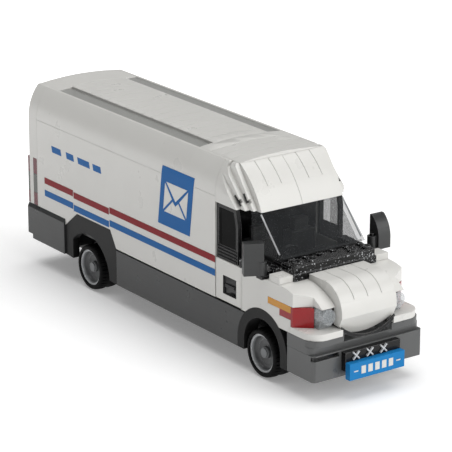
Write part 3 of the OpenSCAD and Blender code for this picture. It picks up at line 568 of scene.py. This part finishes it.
# The cowl's finish paints glints as pale specks.
rounded["cowl"].data.materials[0] = brick_plastic(
    "glinting_plastic", tone(14, 14, 15), roughness=0.14, edge_highlight=0.9, glints=0.7, shine=0.3
)
arch_finish = brick_plastic("arch_plastic", tone(34, 34, 34), roughness=0.4, shine=0.15)
for name in ("rear_arch_right", "rear_arch_left", "front_arch_right", "front_arch_left"):
    rounded[name].data.materials[0] = arch_finish
print("rounded parts:", len(rounded))

# %% [markdown]
# ## Surfaces from a grid of points
# The other pieces are worked out with numpy. A surface is a grid of points, and each little
# square of the grid becomes a face. When a direction closes on itself, as round a wheel, its
# last line joins its first. Ends that stay open get a flat cap, so each piece is a closed body.

# %% Turn a grid of points into a piece
def grid_piece(name, points, body, slot, close_rows=False, smooth=True):
    """Joins points of shape (rows, columns, 3), whose columns close on themselves. A square
    joins a point, its neighbour in the row, the point below that, and the point below itself.
    Open rows get caps at both ends."""
    rows, columns = points.shape[:2]
    index = np.arange(rows * columns).reshape(rows, columns)
    below, beside = np.roll(index, -1, 0), np.roll(index, -1, 1)
    squares = np.stack([index, beside, np.roll(beside, -1, 0), below], -1)
    squares = squares if close_rows else squares[:-1]
    faces = squares.reshape(-1, 4).tolist()
    if not close_rows:
        faces += [index[0][::-1].tolist(), index[-1].tolist()]
    mesh = bpy.data.meshes.new(name)
    mesh.from_pydata(points.reshape(-1, 3).tolist(), [], faces)
    mesh.materials.append(finishes[slot])
    return finished(mesh, body, smooth)


def finished(mesh, body, smooth=True):
    """Turns the faces outwards, smooths the gentle edges and makes the piece ride on a body."""
    shape = bmesh.new()
    shape.from_mesh(mesh)
    bmesh.ops.remove_doubles(shape, verts=shape.verts, dist=0.0002 * MM)
    bmesh.ops.recalc_face_normals(shape, faces=shape.faces)
    for face in shape.faces:
        face.smooth = smooth
    shape.to_mesh(mesh)
    shape.free()
    if smooth:
        mesh.set_sharp_from_angle(angle=math.radians(32))
    piece = bpy.data.objects.new(mesh.name, mesh)
    bpy.context.scene.collection.objects.link(piece)
    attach(piece, body)
    return piece


def revolved(profile, turns, centre):
    """A profile of (distance from the axis, x) points carried round an axis along x: y is the
    distance times the cosine of the turn, and z the distance times its sine."""
    reach, along = profile[None, :, 0], profile[None, :, 1]
    angle = np.linspace(0, 2 * np.pi, turns, endpoint=False)[:, None]
    return np.stack([
        np.broadcast_to(centre[0] + along, (turns, profile.shape[0])),
        centre[1] + reach * np.cos(angle),
        centre[2] + reach * np.sin(angle),
    ], -1)


# %% [markdown]
# ## Tyres
# A small rubber tyre has a nearly flat tread with a groove round its middle and cross cuts
# along both shoulders. It is one profile carried round the wheel, with the cross cuts taken out
# of the distance from the axis. A displacement map would look the same
# from afar, but the real outline of a tyre shows its cuts against the floor.

# %% Make the four tyres
def tyre_points(low, high, turns=288, blocks=36):
    """Half a superellipse over the tread, whose power of 4 gives a flat tread and tight
    shoulders, closed by an inner ring a little inside the bead. Cuts are narrow pulses of the
    turn, deepest at the shoulder, and the groove is a bell curve round the middle."""
    centre = [(low.x + high.x) / 2, (low.y + high.y) / 2, (low.z + high.z) / 2]
    radius, half = (high.z - low.z) / 2, (high.x - low.x) / 2
    bead = radius - 2.45 * MM
    sweep = np.linspace(0, np.pi, 49)
    across = -np.sign(np.cos(sweep)) * np.abs(np.cos(sweep)) ** 0.5 * half
    out = bead + (radius - bead) * np.abs(np.sin(sweep)) ** 0.5
    groove = np.exp(-((across / (0.5 * MM)) ** 2))
    out = out - 0.45 * MM * groove
    angle = np.linspace(0, 2 * np.pi, turns, endpoint=False)[:, None]
    lean = across[None, :] / half * 0.9
    pulse = np.clip(np.cos(angle * blocks + lean * 2) * 4 - 2.6, 0, 1)
    shoulder = np.clip((np.abs(across) / half - 0.32) * 3.5, 0, 1)
    shoulder = shoulder * np.clip((out - bead) / (radius - bead) * 2.2 - 1.1, 0, 1)
    reach = out[None, :] - 0.5 * MM * pulse * shoulder[None, :]
    x = centre[0] + np.broadcast_to(across, reach.shape)
    y, z = centre[1] + reach * np.cos(angle), centre[2] + reach * np.sin(angle)
    points = np.stack([x, y, z], -1)
    inner = points[:, [-1, 0]]
    squeeze, narrowing = (bead - 0.25 * MM) / bead, 0.86
    inner[:, :, 1] = centre[1] + (inner[:, :, 1] - centre[1]) * squeeze
    inner[:, :, 2] = centre[2] + (inner[:, :, 2] - centre[2]) * squeeze
    inner[:, :, 0] = centre[0] + (inner[:, :, 0] - centre[0]) * narrowing
    return np.concatenate([points, inner], 1)


for end, hand in wheel_nodes:
    name = f"{end}_tyre_{hand}"
    points = tyre_points(*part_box(name))
    piece = grid_piece(name + "_treaded", points, f"{end}_wheels", "tyre_rubber", close_rows=True)
    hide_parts(name)
print("tyre faces:", len(piece.data.polygons))

# %% [markdown]
# ## Wheel hubs
# Inside each tyre sits a dished plastic hub: a bright lip, a deep bowl with a step halfway, and
# a boss round the axle hole. A lathe shape like this is a profile turned round the axle. The
# profile is drawn from the outer face inwards, and the inner face is a mirror of it.

# %% Make the four hubs
def hub_profile(radius, half):
    """Points (distance from the axle, place along it) down the outer face: lip, bowl, step,
    boss and hole. Each pair is in millimetres from the rim's edge and from the outer face."""
    outer = np.array([
        (0.0, 1.1), (0.0, 0.25), (0.1, 0.06), (0.3, 0.0), (0.85, 0.0), (1.05, 0.08), (1.15, 0.3),
        (1.3, 1.6), (1.9, 2.5), (2.1, 2.6), (3.0, 2.75), (3.2, 2.95), (5.0, 3.15),
    ]) * MM
    rim = np.stack([radius - outer[:, 0], half - outer[:, 1]], -1)
    boss = np.array([(2.95, 3.15), (2.85, 1.7), (2.6, 1.5), (1.7, 1.5), (1.5, 1.7), (1.45, 2.1)])
    boss = np.stack([boss[:, 0] * MM, half - boss[:, 1] * MM], -1)
    face = np.concatenate([rim, boss])
    well = np.array([(radius - 0.62 * MM, half - 1.2 * MM)])
    return np.concatenate([face, face[::-1] * (1, -1), well * (1, -1), well])


for end, hand in wheel_nodes:
    name = f"{end}_hub_{hand}"
    low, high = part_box(name)
    middle = [(low[i] + high[i]) / 2 for i in range(3)]
    profile = hub_profile((high.z - low.z) / 2, (high.x - low.x) / 2)
    piece = grid_piece(
        name + "_dished", revolved(profile, 96, middle), f"{end}_wheels", "hub_silver",
        close_rows=True,
    )
    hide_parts(name)
print("hub faces:", len(piece.data.polygons))

# %% [markdown]
# ## Grille strips on the roof
# Two grey strips run along the roof. On the real toy each is a row of small grille tiles, whose
# thin bars lie across the van with gaps between them. Modelling each bar as its own box would
# repeat one shape two hundred times. Instead the strip's cross-section is carried along the
# roof, and the height of its top drops into every gap.

# %% Carve the grille strips
def grille_points(x_low, x_high, y_low, y_high, z_low, z_high, bars):
    """A closed rectangle section at each of eight stations per bar. Its top is at full height
    on the bar and lower in the gap, and its sides lean in by a tenth of a millimetre."""
    depth, edge = 1.6 * MM, 0.5 * MM
    step = (y_high - y_low) / bars
    shape = np.array([0.0, 0.02, 0.50, 0.53, 0.55, 0.97, 0.99, 1.0])
    level = np.array([0.0, 0.0, 0.0, 0.12, 1.0, 1.0, 0.12, 0.0])
    y = y_low + (np.arange(bars)[:, None] + shape[None, :-1]).ravel() * step
    drop = np.tile(level[:-1], bars) * depth
    y, drop = np.append(y, y_high), np.append(drop, 0.0)
    zero = np.zeros_like(y)
    section = [
        (x_low, zero + z_low), (x_low, zero + z_high), (x_low + edge, zero + z_high),
        (x_low + edge, z_high - drop), (x_high - edge, z_high - drop),
        (x_high - edge, zero + z_high), (x_high, zero + z_high), (x_high, zero + z_low),
    ]
    return np.stack([np.stack([zero + x, y, z], -1) for x, z in section], 1)


strip_low, strip_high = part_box("roof_strips")
deck_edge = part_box("roof_deck")[1].x
bar_pitch = 1.6 * MM
for hand, sign in (("right", -1), ("left", 1)):
    x_range = sorted((sign * deck_edge * 2 / 3, sign * strip_high.x))
    points = grille_points(
        *x_range, strip_low.y, strip_high.y, strip_low.z, strip_high.z,
        round((strip_high.y - strip_low.y) / bar_pitch),
    )
    piece = grid_piece(
        f"roof_grille_{hand}", points, "van_body", "strip_grey", smooth=False
    )
    if hand == "right":
        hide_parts("roof_strips")
print("grille strip faces:", len(piece.data.polygons))

# %% [markdown]
# ## Headlamps
# Each headlamp is a clear box with a round lens whose face is cast in a pattern of small bumps.
# The box is a rounded block, and the lens is a disc whose height follows two crossed waves. A
# pale bowl behind them, made as a lens with a hollow face, gives the plastic something to show.

# %% Cast the headlamps
def rounded_box(low, high, radius, steps=6):
    """A block with rounded upright edges: quarter circles round four corner centres in plan,
    repeated at the bottom and the top with a small inset for the chamfer."""
    turn = np.linspace(0, np.pi / 2, steps)
    plan = []
    for quarter, (sx, sy) in enumerate(((1, 1), (-1, 1), (-1, -1), (1, -1))):
        cx = (high[0] if sx > 0 else low[0]) - sx * radius
        cy = (high[1] if sy > 0 else low[1]) - sy * radius
        angle = turn + quarter * np.pi / 2
        plan.append(np.stack([cx + radius * np.cos(angle), cy + radius * np.sin(angle)], -1))
    plan = np.concatenate(plan)
    middle = plan.mean(0)
    chamfer = 0.15 * MM
    size = np.array([high[0] - low[0], high[1] - low[1]])
    small = middle + (plan - middle) * (1 - 2 * chamfer / size)
    heights = [(small, low[2]), (plan, low[2] + chamfer), (plan, high[2] - chamfer),
               (small, high[2])]
    return np.stack([np.column_stack([p, np.full(len(p), z)]) for p, z in heights])


def lens_points(centre, radius, barrel, depth, pitch, rings=26, turns=84):
    """A disc that faces -y. Its height is the barrel plus the depth times a dome, plus crossed
    cosine waves of the pitch, faded out at the rim; a last ring goes back to close the body."""
    r = np.linspace(0.02, 1, rings)[:, None] * radius
    angle = np.linspace(0, 2 * np.pi, turns, endpoint=False)[None, :]
    x, z = r * np.cos(angle), r * np.sin(angle)
    fade = np.clip((radius - r) / (0.5 * MM), 0, 1)
    waves = 0.16 * MM * (np.cos(2 * np.pi * x / pitch) + np.cos(2 * np.pi * z / pitch)) * fade
    dome = depth * (1 - (r / radius) ** 2) + barrel
    y = centre[1] - dome - waves + 0 * x
    face = np.stack([centre[0] + x, y, centre[2] + z], -1)
    back_ring = face[-1:].copy()
    back_ring[:, :, 1] = centre[1]
    return np.concatenate([face, back_ring])


lamp_low, lamp_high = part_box("headlamps")
lamp_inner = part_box("bonnet")[1].x + 0.4 * MM
lens_radius = 4.0 * MM
case_front = lamp_low.y + 3.6 * MM
lamp_mirror = brick_plastic("lamp_mirror", tone(205, 208, 210), roughness=0.16)
for hand, sign in (("right", -1), ("left", 1)):
    x_range = sorted((sign * lamp_inner, sign * lamp_high.x))
    case = grid_piece(
        f"headlamp_case_{hand}",
        rounded_box((x_range[0], case_front, lamp_low.z), (x_range[1], lamp_high.y, lamp_high.z),
                    0.5 * MM),
        "van_body", "lens_clear",
    )
    centre = (sum(x_range) / 2, case_front, lamp_high.z - lens_radius)
    lens_piece = grid_piece(
        f"headlamp_lens_{hand}",
        lens_points(centre, lens_radius - 0.25 * MM, 2.7 * MM, 0.5 * MM, 1.1 * MM),
        "van_body", "lens_clear",
    )
    bowl_centre = (centre[0], lamp_high.y - 0.6 * MM, centre[2])
    bowl = grid_piece(
        f"headlamp_bowl_{hand}",
        lens_points(bowl_centre, lens_radius - 0.4 * MM, 1.6 * MM, -1.0 * MM, 1.3 * MM),
        "van_body", "hub_silver",
    )
    bowl.data.materials[0] = lamp_mirror
    if hand == "right":
        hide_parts("headlamps")
print("lens faces:", len(lens_piece.data.polygons))

# %% [markdown]
# ## Window edges, sill trim and vents
# The cut edges of a clear pane catch more light than its faces, so each windscreen corner has a
# painted highlight: a thin pale rod along it. Below each side window runs a ribbed black trim,
# and the black strip in front of the glass is crowded with small vents. A rod is a circle carried
# along a path of points; the ribs and the vents are height waves on a grid, closed underneath by
# a flat last row.

# %% Add the window edges, the trim and the vents
def rod_points(path, radius, turns=10):
    """A circle of the radius at each point of the path, square to the path: centre plus
    cosine times one side direction plus sine times the other."""
    path = np.asarray(path, float)
    along = np.gradient(path, axis=0)
    along /= np.linalg.norm(along, axis=1, keepdims=True)
    first = np.cross(along, (1.0, 0.2, 0.1))
    first /= np.linalg.norm(first, axis=1, keepdims=True)
    second = np.cross(along, first)
    angle = np.linspace(0, 2 * np.pi, turns, endpoint=False)
    cosine, sine = np.cos(angle)[None, :, None], np.sin(angle)[None, :, None]
    return path[:, None] + radius * (cosine * first[:, None] + sine * second[:, None])


def relief_points(low, high, waves, axes, rows=60, columns=90):
    """A relief face and the ring of points round its rim. The relief is a grid over the two given
    axes at the high corner plus waves(u, v)."""
    u = np.linspace(low[axes[0]], high[axes[0]], rows)[:, None]
    v = np.linspace(low[axes[1]], high[axes[1]], columns)[None, :]
    third = 3 - axes[0] - axes[1]
    face = np.empty((rows, columns, 3))
    face[..., axes[0]], face[..., axes[1]] = u + 0 * v, v + 0 * u
    face[..., third] = high[third] + waves(u, v)
    ring = np.concatenate([face[0], face[1:, -1], face[-1, -2::-1], face[-2:0:-1, 0]])
    return face, ring


def relief_piece(name, low, high, waves, axes, body, slot, rows=60, columns=90):
    """Joins a relief face, four walls and a back into one closed body."""
    face, ring = relief_points(low, high, waves, axes, rows, columns)
    third = 3 - axes[0] - axes[1]
    back = ring.copy()
    back[:, third] = low[third]
    index = np.arange(rows * columns).reshape(rows, columns)
    quads = np.stack([index[:-1, :-1], index[1:, :-1], index[1:, 1:], index[:-1, 1:]], -1)
    rim = np.concatenate([index[0], index[1:, -1], index[-1, -2::-1], index[-2:0:-1, 0]])
    deep = rows * columns + np.arange(len(rim))
    walls = np.stack([rim, np.roll(rim, -1), np.roll(deep, -1), deep], -1)
    mesh = bpy.data.meshes.new(name)
    mesh.from_pydata(
        np.concatenate([face.reshape(-1, 3), back]).tolist(), [],
        quads.reshape(-1, 4).tolist() + walls.tolist() + [deep[::-1].tolist()],
    )
    mesh.materials.append(finishes[slot])
    return finished(mesh, body)


glass_low, glass_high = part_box("windscreen")
pillar_foot = (glass_low.y + 3.1 * MM, glass_low.z + 3.2 * MM)
pillar_head = (station(51.4), glass_high.z - 0.6 * MM)
for hand, sign in (("right", -1), ("left", 1)):
    share = np.linspace(0, 1, 24)[:, None]
    edge_x = sign * (glass_high.x - 0.1 * MM)
    start, end = np.array((edge_x, *pillar_foot)), np.array((edge_x, *pillar_head))
    # Painted highlight: a pale rod along each windscreen corner.
    grid_piece(
        f"pane_edge_highlight_{hand}", rod_points(start + (end - start) * share, 0.4 * MM),
        "van_body", "light_grey_brick",
    )
    door_low, door_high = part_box(f"door_window_{hand}")
    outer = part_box(f"cab_door_{hand}")[1 if sign > 0 else 0].x - sign * 0.35 * MM
    inner = door_high.x if sign > 0 else door_low.x
    low = [inner, door_low.y - 0.8 * MM, sill_z + 0.3 * MM]
    high = [outer, door_high.y + 0.8 * MM, sill_z + 7.0 * MM]
    relief_piece(
        f"door_trim_{hand}", low, high,
        lambda u, v, sign=sign: sign * 0.25 * MM * np.cos(2 * np.pi * v / (1.6 * MM)) + 0 * u,
        (1, 2), f"cab_door_{hand}", "black_brick", 8, 60,
    )
cowl_low, cowl_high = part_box("cowl")
cowl_top = cowl_high.z - 1.7 * MM
relief_piece(
    "cowl_vents",
    [-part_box("dashboard")[1].x + 0.6 * MM, cowl_low.y + 1.0 * MM, cowl_top - 0.5 * MM],
    [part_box("dashboard")[1].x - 0.6 * MM, cowl_low.y + 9.0 * MM, cowl_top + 0.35 * MM],
    lambda u, v: 0.35 * MM * (
        np.cos(2 * np.pi * u / (1.6 * MM)) * np.cos(2 * np.pi * v / (1.5 * MM))
        + 0.6 * np.cos(2 * np.pi * (u + v) / (3.7 * MM))
    ),
    (0, 1), "van_body", "black_brick", 260, 60,
)
print("cowl top at", round(cowl_top / MM, 1), "mm")

# %% [markdown]
# ## Dark linings and painted shade
# The backs of the wheel wells get thin black linings, which keep daylight from showing through.
# The slot in the bumper, the gap under the bonnet and the two gaps in each cheek of the visor get
# thin black pieces that are painted shade: they stand in for the shadow in these gaps. The piece
# under the bonnet is a painted shadow: a curved band that is thickest at its ends. The wells'
# linings stop short of the axle, which turns between them.

# %% Line the wheel wells, and paint shade into the slot, the gap under the bonnet and the cheeks
def lining(name, low_mm, high_mm):
    """A small black block between two corners, given in millimetres with y from the bumper."""
    low = np.array((low_mm[0] * MM, station(low_mm[1]), low_mm[2] * MM))
    high = np.array((high_mm[0] * MM, station(high_mm[1]), high_mm[2] * MM))
    return grid_piece(name, rounded_box(low, high, 0.2 * MM), "van_body", "black_brick")


well_top, lining_thick = 29.0, 0.8
inner_wheel = (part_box("front_tyre_left")[0].x - 1.5 * MM) / MM
for end in ("front", "rear"):
    hub_low, hub_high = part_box(f"{end}_hub_left")
    axle_at = ((hub_low.y + hub_high.y) / 2 - nose_y) / MM
    axle_up = (hub_low.z + hub_high.z) / 2 / MM
    for hand, sign in (("right", -1), ("left", 1)):
        x_low, x_high = sorted((sign * inner_wheel, sign * (inner_wheel - lining_thick)))
        for place_name, start, end_mm in (("before", -21.0, -4.1), ("behind", 4.1, 38.0)):
            lining(
                f"well_lining_{end}_{place_name}_{hand}",
                (x_low, axle_at + start, axle_up - 1.0), (x_high, axle_at + end_mm, well_top),
            )
# Painted shade: a black block at the back of the bumper slot.
lining("bumper_slot_shadow", (-31.4, 1.3, 20.7), (-17.3, 2.3, 22.6))
# Painted shadow: a black crescent just behind the bonnet's front edge, thickest at its ends.
shadow_half, shadow_low, shadow_rise, shadow_thick = 15.4, 27.6, 6.0, 1.5
shadow_x = np.linspace(-shadow_half, shadow_half, 41)
shadow_z = shadow_low + shadow_rise * (shadow_x / shadow_half) ** 2
thick = shadow_thick * np.clip(np.abs(shadow_x) / 9, 0.25, 1)
shadow_outline = np.concatenate([
    np.stack([shadow_x, shadow_z + 0.4], -1), np.stack([shadow_x, shadow_z - thick], -1)[::-1],
]) * MM
bonnet_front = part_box("bonnet")[0].y
shadow_flat = np.stack([shadow_outline[:, 0], 0 * shadow_outline[:, 0], shadow_outline[:, 1]], -1)
shadow_points = np.stack([
    shadow_flat + (0, bonnet_front + 0.5 * MM, 0), shadow_flat + (0, bonnet_front + 1.3 * MM, 0),
])
grid_piece("bonnet_shadow", shadow_points, "van_body", "black_brick", smooth=False)
# Painted shade: thin black bars along the gaps between the slabs of each visor cheek.
cheek_shadow_lines = {
    "outer": (29.4, (59.6, 79.1), (64.2, 83.1)),
    "inner": (26.7, (58.2, 80.4), (60.9, 84.3)),
}
for slot_name, (x_mid, foot, head) in cheek_shadow_lines.items():
    slope = np.subtract(head, foot) / np.linalg.norm(np.subtract(head, foot))
    out = np.array((0.0, -slope[1], slope[0])) * MM
    for hand, sign in (("right", -1), ("left", 1)):
        corners = np.array([
            (sign * x_mid + side_mm, spot[0], spot[1])
            for spot, side_mm in ((foot, -0.6), (foot, 0.6), (head, 0.6), (head, -0.6))
        ]) * MM + (0, nose_y, 0)
        cheek_shadow_points = np.stack([corners - out * 0.4, corners + out * 0.25])
        grid_piece(
            f"cheek_shadow_{slot_name}_{hand}", cheek_shadow_points, "van_body", "black_brick",
            smooth=False,
        )
print("linings start", round(inner_wheel, 1), "mm from the middle")

# %% [markdown]
# ## Printed marks
# The real van carries a postal service's own mark, slogan and number. A library part has to
# work for anyone, so plain signs stand in: an envelope on the blue square, four blank bars
# where a slogan would be, and five blank tiles on the number plate. Each is a very thin body,
# an outline carried a twentieth of a millimetre outwards, so it has a real edge like a sticker.

# %% Cut the printed marks
PRINT_T = 0.05 * MM


def extruded(outline, origin, right, up_axis, out, thickness):
    """An outline of (along, up) points carried outwards: origin plus along times the right
    axis plus up times the up axis, at the start and again at the thickness."""
    flat = origin + outline[:, :1] * right + outline[:, 1:] * up_axis
    return np.stack([flat, flat + out * thickness])


def print_mark(name, outline_mm, origin, right, out, slot, body="van_body", thickness=PRINT_T):
    """One flat printed shape, from an outline in millimetres."""
    points = extruded(
        np.array(outline_mm) * MM, np.array(origin), np.array(right),
        np.array((0.0, 0.0, 1.0)), np.array(out), thickness,
    )
    return grid_piece(name, points, body, slot, smooth=False)


emblem_low, emblem_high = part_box("emblem_panels")
emblem_y, emblem_z = (emblem_low.y + emblem_high.y) / 2, (emblem_low.z + emblem_high.z) / 2
emblem_lean = 4 / 30
envelope_parts = {
    "flap": [(-8.9, 7.6), (0, -0.8), (8.9, 7.6)],
    "body_a": [(-9.8, 6.9), (-9.8, -6.9), (-3.2, -0.2)],
    "body_b": [(9.8, 6.9), (3.2, -0.2), (9.8, -6.9)],
    "body_c": [(-8.9, -7.8), (8.9, -7.8), (2.4, -1.2), (0, -3.2), (-2.4, -1.2)],
}
slogan_words = [(176.1, 183.7), (186.8, 198.0), (202.0, 209.1), (214.2, 223.3)]
slogan_z = 67.6 * MM
wall_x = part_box("side_wall_left")[1].x
for hand, sign in (("right", -1), ("left", 1)):
    face_x = sign * emblem_high.x
    for part_name, outline in envelope_parts.items():
        leaning = [(along + sign * emblem_lean * up_mm, up_mm) for along, up_mm in outline]
        print_mark(
            f"envelope_{part_name}_{hand}", leaning, (face_x, emblem_y, emblem_z),
            (0, -sign, 0), (sign, 0, 0), "white_brick",
        )
    for number, (start, end) in enumerate(slogan_words):
        bar = [(start + 0.8, 1.7), (end + 0.8, 1.7), (end, -1.7), (start, -1.7)]
        print_mark(
            f"slogan_bar_{number}_{hand}", bar, (sign * wall_x, nose_y, slogan_z), (0, 1, 0),
            (sign, 0, 0), "print_blue",
        )
stripe_low, stripe_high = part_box("side_stripes")
stripe_mm = 3.3
sections = [(0.0, 0.595, 0.0), (0.6, 0.815, -0.8), (0.82, 1.0, 0.0)]
stripe_span = stripe_high.y - stripe_low.y
for hand, sign in (("right", -1), ("left", 1)):
    for colour, low_z, slot in (("blue", 40.2, "print_blue"), ("red", 47.0, "print_red")):
        for number, (start, end, step_mm) in enumerate(sections):
            y0 = (stripe_low.y + stripe_span * start) / MM
            y1 = (stripe_low.y + stripe_span * end) / MM
            z0 = low_z + step_mm
            z1 = z0 + stripe_mm
            outline = [(y0, z0), (y1, z0), (y1, z1), (y0, z1)]
            piece = print_mark(
                f"stripe_{colour}_{number}_{hand}", outline,
                (sign * wall_x, 0, 0), (0, 1, 0), (sign, 0, 0), slot,
                thickness=0.15 * MM,
            )
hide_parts("side_stripes")
plate_low, plate_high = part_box("number_plate")
plate_mid = (0.0, plate_low.y, (plate_low.z + plate_high.z) / 2)
tile_pitch = 4.0
for number in range(5):
    x = (number - 2) * tile_pitch
    tile = [(x - 1.3, -1.9), (x + 1.3, -1.9), (x + 1.3, 1.9), (x - 1.3, 1.9)]
    print_mark(f"plate_tile_{number}", tile, plate_mid, (1, 0, 0), (0, -1, 0), "white_brick")
for name, x in (("plate_dash_right", -12.4), ("plate_dash_left", 12.4)):
    dash = [(x - 1.2, -0.3), (x + 1.2, -0.3), (x + 1.2, 0.3), (x - 1.2, 0.3)]
    print_mark(name, dash, plate_mid, (1, 0, 0), (0, -1, 0), "white_brick")
print("printed marks made; plate is", round((plate_high.x - plate_low.x) / MM, 1), "mm wide")

# %% [markdown]
# ## Studio
# A toy looks its best on a white sweep under big soft lamps, so its shadow is short and pale.
# The floor is one large plain sheet that glows more with distance, which fades it into white. A
# wide lamp in front lights the nose, a second from above lights the roof, and the pale world
# fills in the long side, which stays a step darker.

# %% Floor and light
def floor_points(reach, count=3):
    """A flat square grid at z = 0, from minus to plus the reach in x and y."""
    line = np.linspace(-reach, reach, count)
    x, y = np.meshgrid(line, line, indexing="ij")
    return np.stack([x, y, np.full_like(x, -0.1 * MM)], -1)


sheet = floor_points(14.0)
count = sheet.shape[0]
grid = np.arange(count * count).reshape(count, count)
quads = np.stack([grid[:-1, :-1], grid[1:, :-1], grid[1:, 1:], grid[:-1, 1:]], -1).reshape(-1, 4)
floor_mesh = bpy.data.meshes.new("studio_floor")
floor_mesh.from_pydata(sheet.reshape(-1, 3).tolist(), [], quads.tolist())
recipe = Recipe("studio_paper")
paper = recipe.blend(recipe.noise(0.4, 2.0), (0.9, 0.9, 0.9, 1), (0.88, 0.88, 0.88, 1))
distance = recipe.node(
    "ShaderNodeVectorMath", {"operation": "LENGTH"}, {0: recipe.place}, "Value"
)
glow_from, glow_rise = 0.16, 4
far = ((distance - glow_from) * glow_rise).limited()
floor_mesh.materials.append(recipe.finish({
    "Base Color": paper, "Roughness": 0.9,
    "Emission Color": recipe.blend(far, (0.34, 0.34, 0.34, 1), (1, 1, 1, 1)),
    "Emission Strength": 0.6,
}))
studio_floor = bpy.data.objects.new("studio_floor", floor_mesh)
bpy.context.scene.collection.objects.link(studio_floor)


def soft_lamp(name, towards, share, spread=1.0):
    """A wide, far lamp that shines from a direction. The share is how bright it makes a white
    card that faces it: its strength is pi times the share."""
    data = bpy.data.lights.new(name, "SUN")
    data.angle = spread
    data.energy = math.pi * share
    lamp = bpy.data.objects.new(name, data)
    lamp.rotation_euler = Vector(towards).to_track_quat("Z", "Y").to_euler()
    bpy.context.scene.collection.objects.link(lamp)
    return lamp


soft_lamp("front_lamp", (0.35, -1.0, 0.5), share=0.57)
soft_lamp("top_lamp", (0.1, 0.1, 1.0), share=0.6, spread=1.1)
world = bpy.data.worlds.new("studio_world")
world.use_nodes = True
world.node_tree.nodes["Background"].inputs["Color"].default_value = (1, 1, 1, 1)
world.node_tree.nodes["Background"].inputs["Strength"].default_value = 0.2
bpy.context.scene.world = world
bpy.context.scene.view_settings.view_transform = "Standard"
print("floor spans", 2 * sheet[-1, -1, 0], "m")

# %% [markdown]
